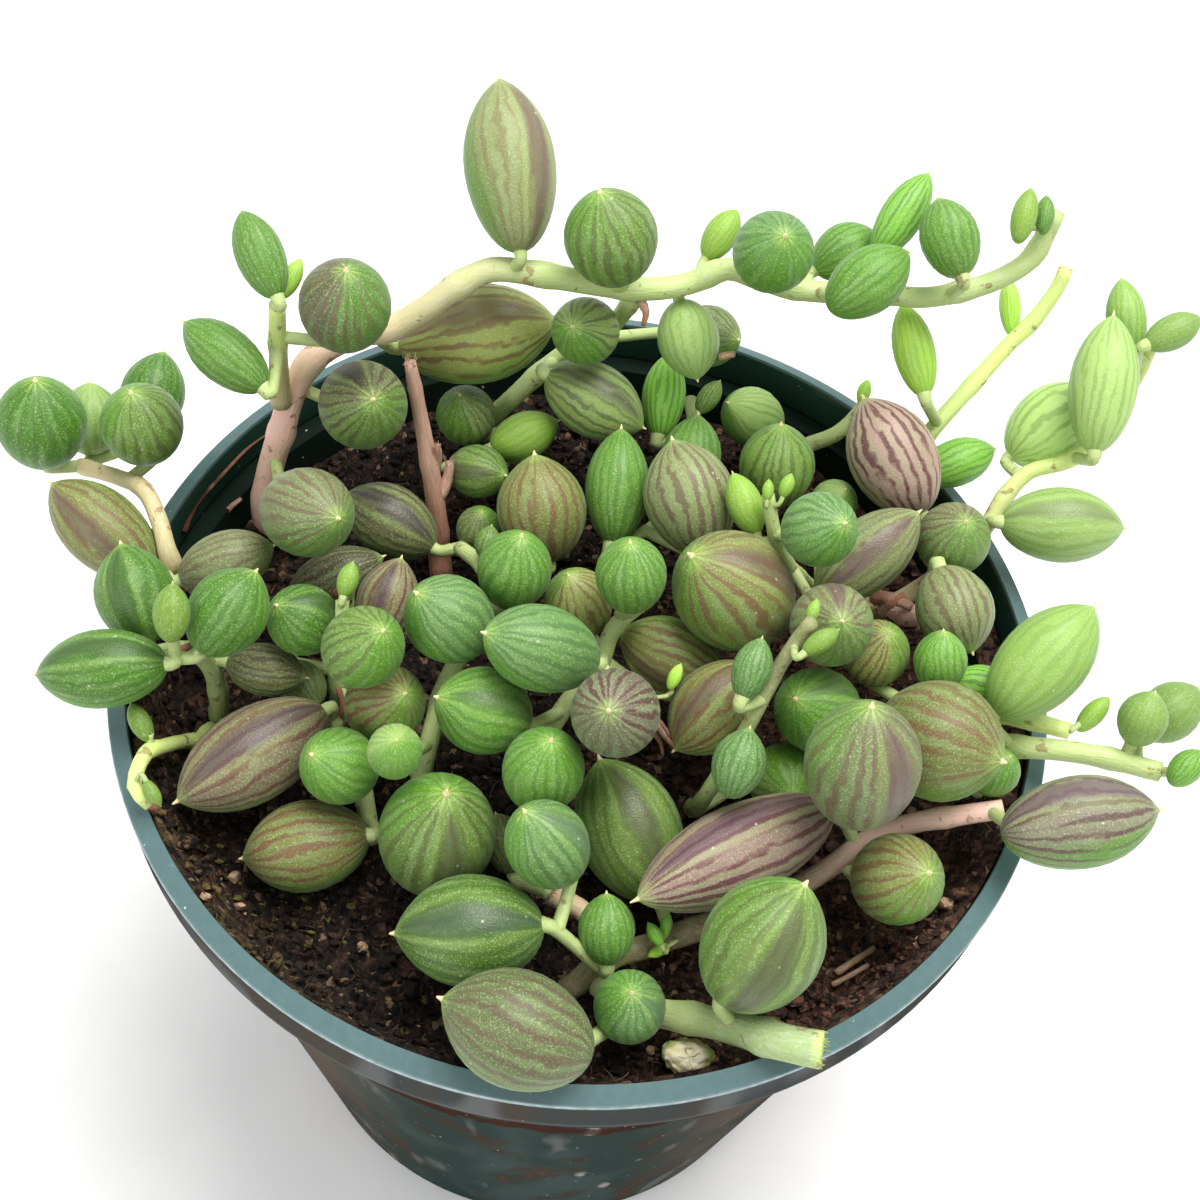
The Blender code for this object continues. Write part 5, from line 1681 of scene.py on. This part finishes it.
def add_light():
    world = bpy.data.worlds.new("pale_room")
    world.use_nodes = True
    sky = world.node_tree.nodes["Background"]
    sky.inputs["Color"].default_value = (0.98, 0.99, 1.0, 1)
    sky.inputs["Strength"].default_value = 0.80
    bpy.context.scene.world = world
    add_softbox("high_softbox", (0.12, 0.14, 0.80), 0.55, 7.5, (1.0, 0.985, 0.96))
    add_softbox("front_softbox", (-0.35, -0.50, 0.45), 0.4, 1.2, (1.0, 0.99, 0.98))
    bpy.context.scene.view_settings.view_transform = "Standard"


def add_camera():
    lens = bpy.data.cameras.new("photo_view")
    lens.sensor_width = 36
    lens.lens = 36 * FOCAL / FRAME
    lens.clip_start = 0.01
    camera = bpy.data.objects.new("photo_view", lens)
    camera.matrix_world = axes_matrix(RIGHT, -DOWN, -FORWARD, EYE)
    bpy.context.scene.collection.objects.link(camera)
    bpy.context.scene.camera = camera


def main():
    luck = random.Random(11)
    materials = {"leaf_skin": leaf_skin(), "stem_skin": stem_skin(), "dry_wood": dry_wood()}
    materials.update({name: crumb(name) for name in LOOSE_TONES})
    add_camera()
    patterns = {
        False: leaf_pattern("leaf", LEAF_SIDES, LEAF_RINGS),
        True: leaf_pattern("small_leaf", SMALL_LEAF_SIDES, SMALL_LEAF_RINGS),
    }
    places = settle(STEMS)
    solid = {}
    for stem in STEMS:
        balls = [leaf_balls(leaf, places[leaf]) for leaf in stem.leaves]
        solid[stem.name] = balls + [run_balls(run) for run in stem.runs]
    for stem in STEMS:
        others = [balls for name, group in solid.items() if name != stem.name for balls in group]
        stalks = grow_stalks(stem, places, tuple(np.concatenate(kind) for kind in zip(*others)))
        for _, way in stalks:
            points = np.array(smooth_route(way, DENSE_STEP))
            solid[stem.name].append((points, np.full(len(points), SHOOT_RADIUS)))
        add_plant(stem, stalks, places, patterns, materials, luck)
    for pattern in patterns.values():
        bpy.data.objects.remove(pattern)
    add_pot(pot_plastic())
    earth = peat()
    add_soil(earth)
    add_peat_bank(earth)
    add_loose_bits(materials, luck)
    add_dry_bits(materials["dry_wood"])
    add_perlite_lump(perlite())
    add_floor(table_top())
    add_light()


main()
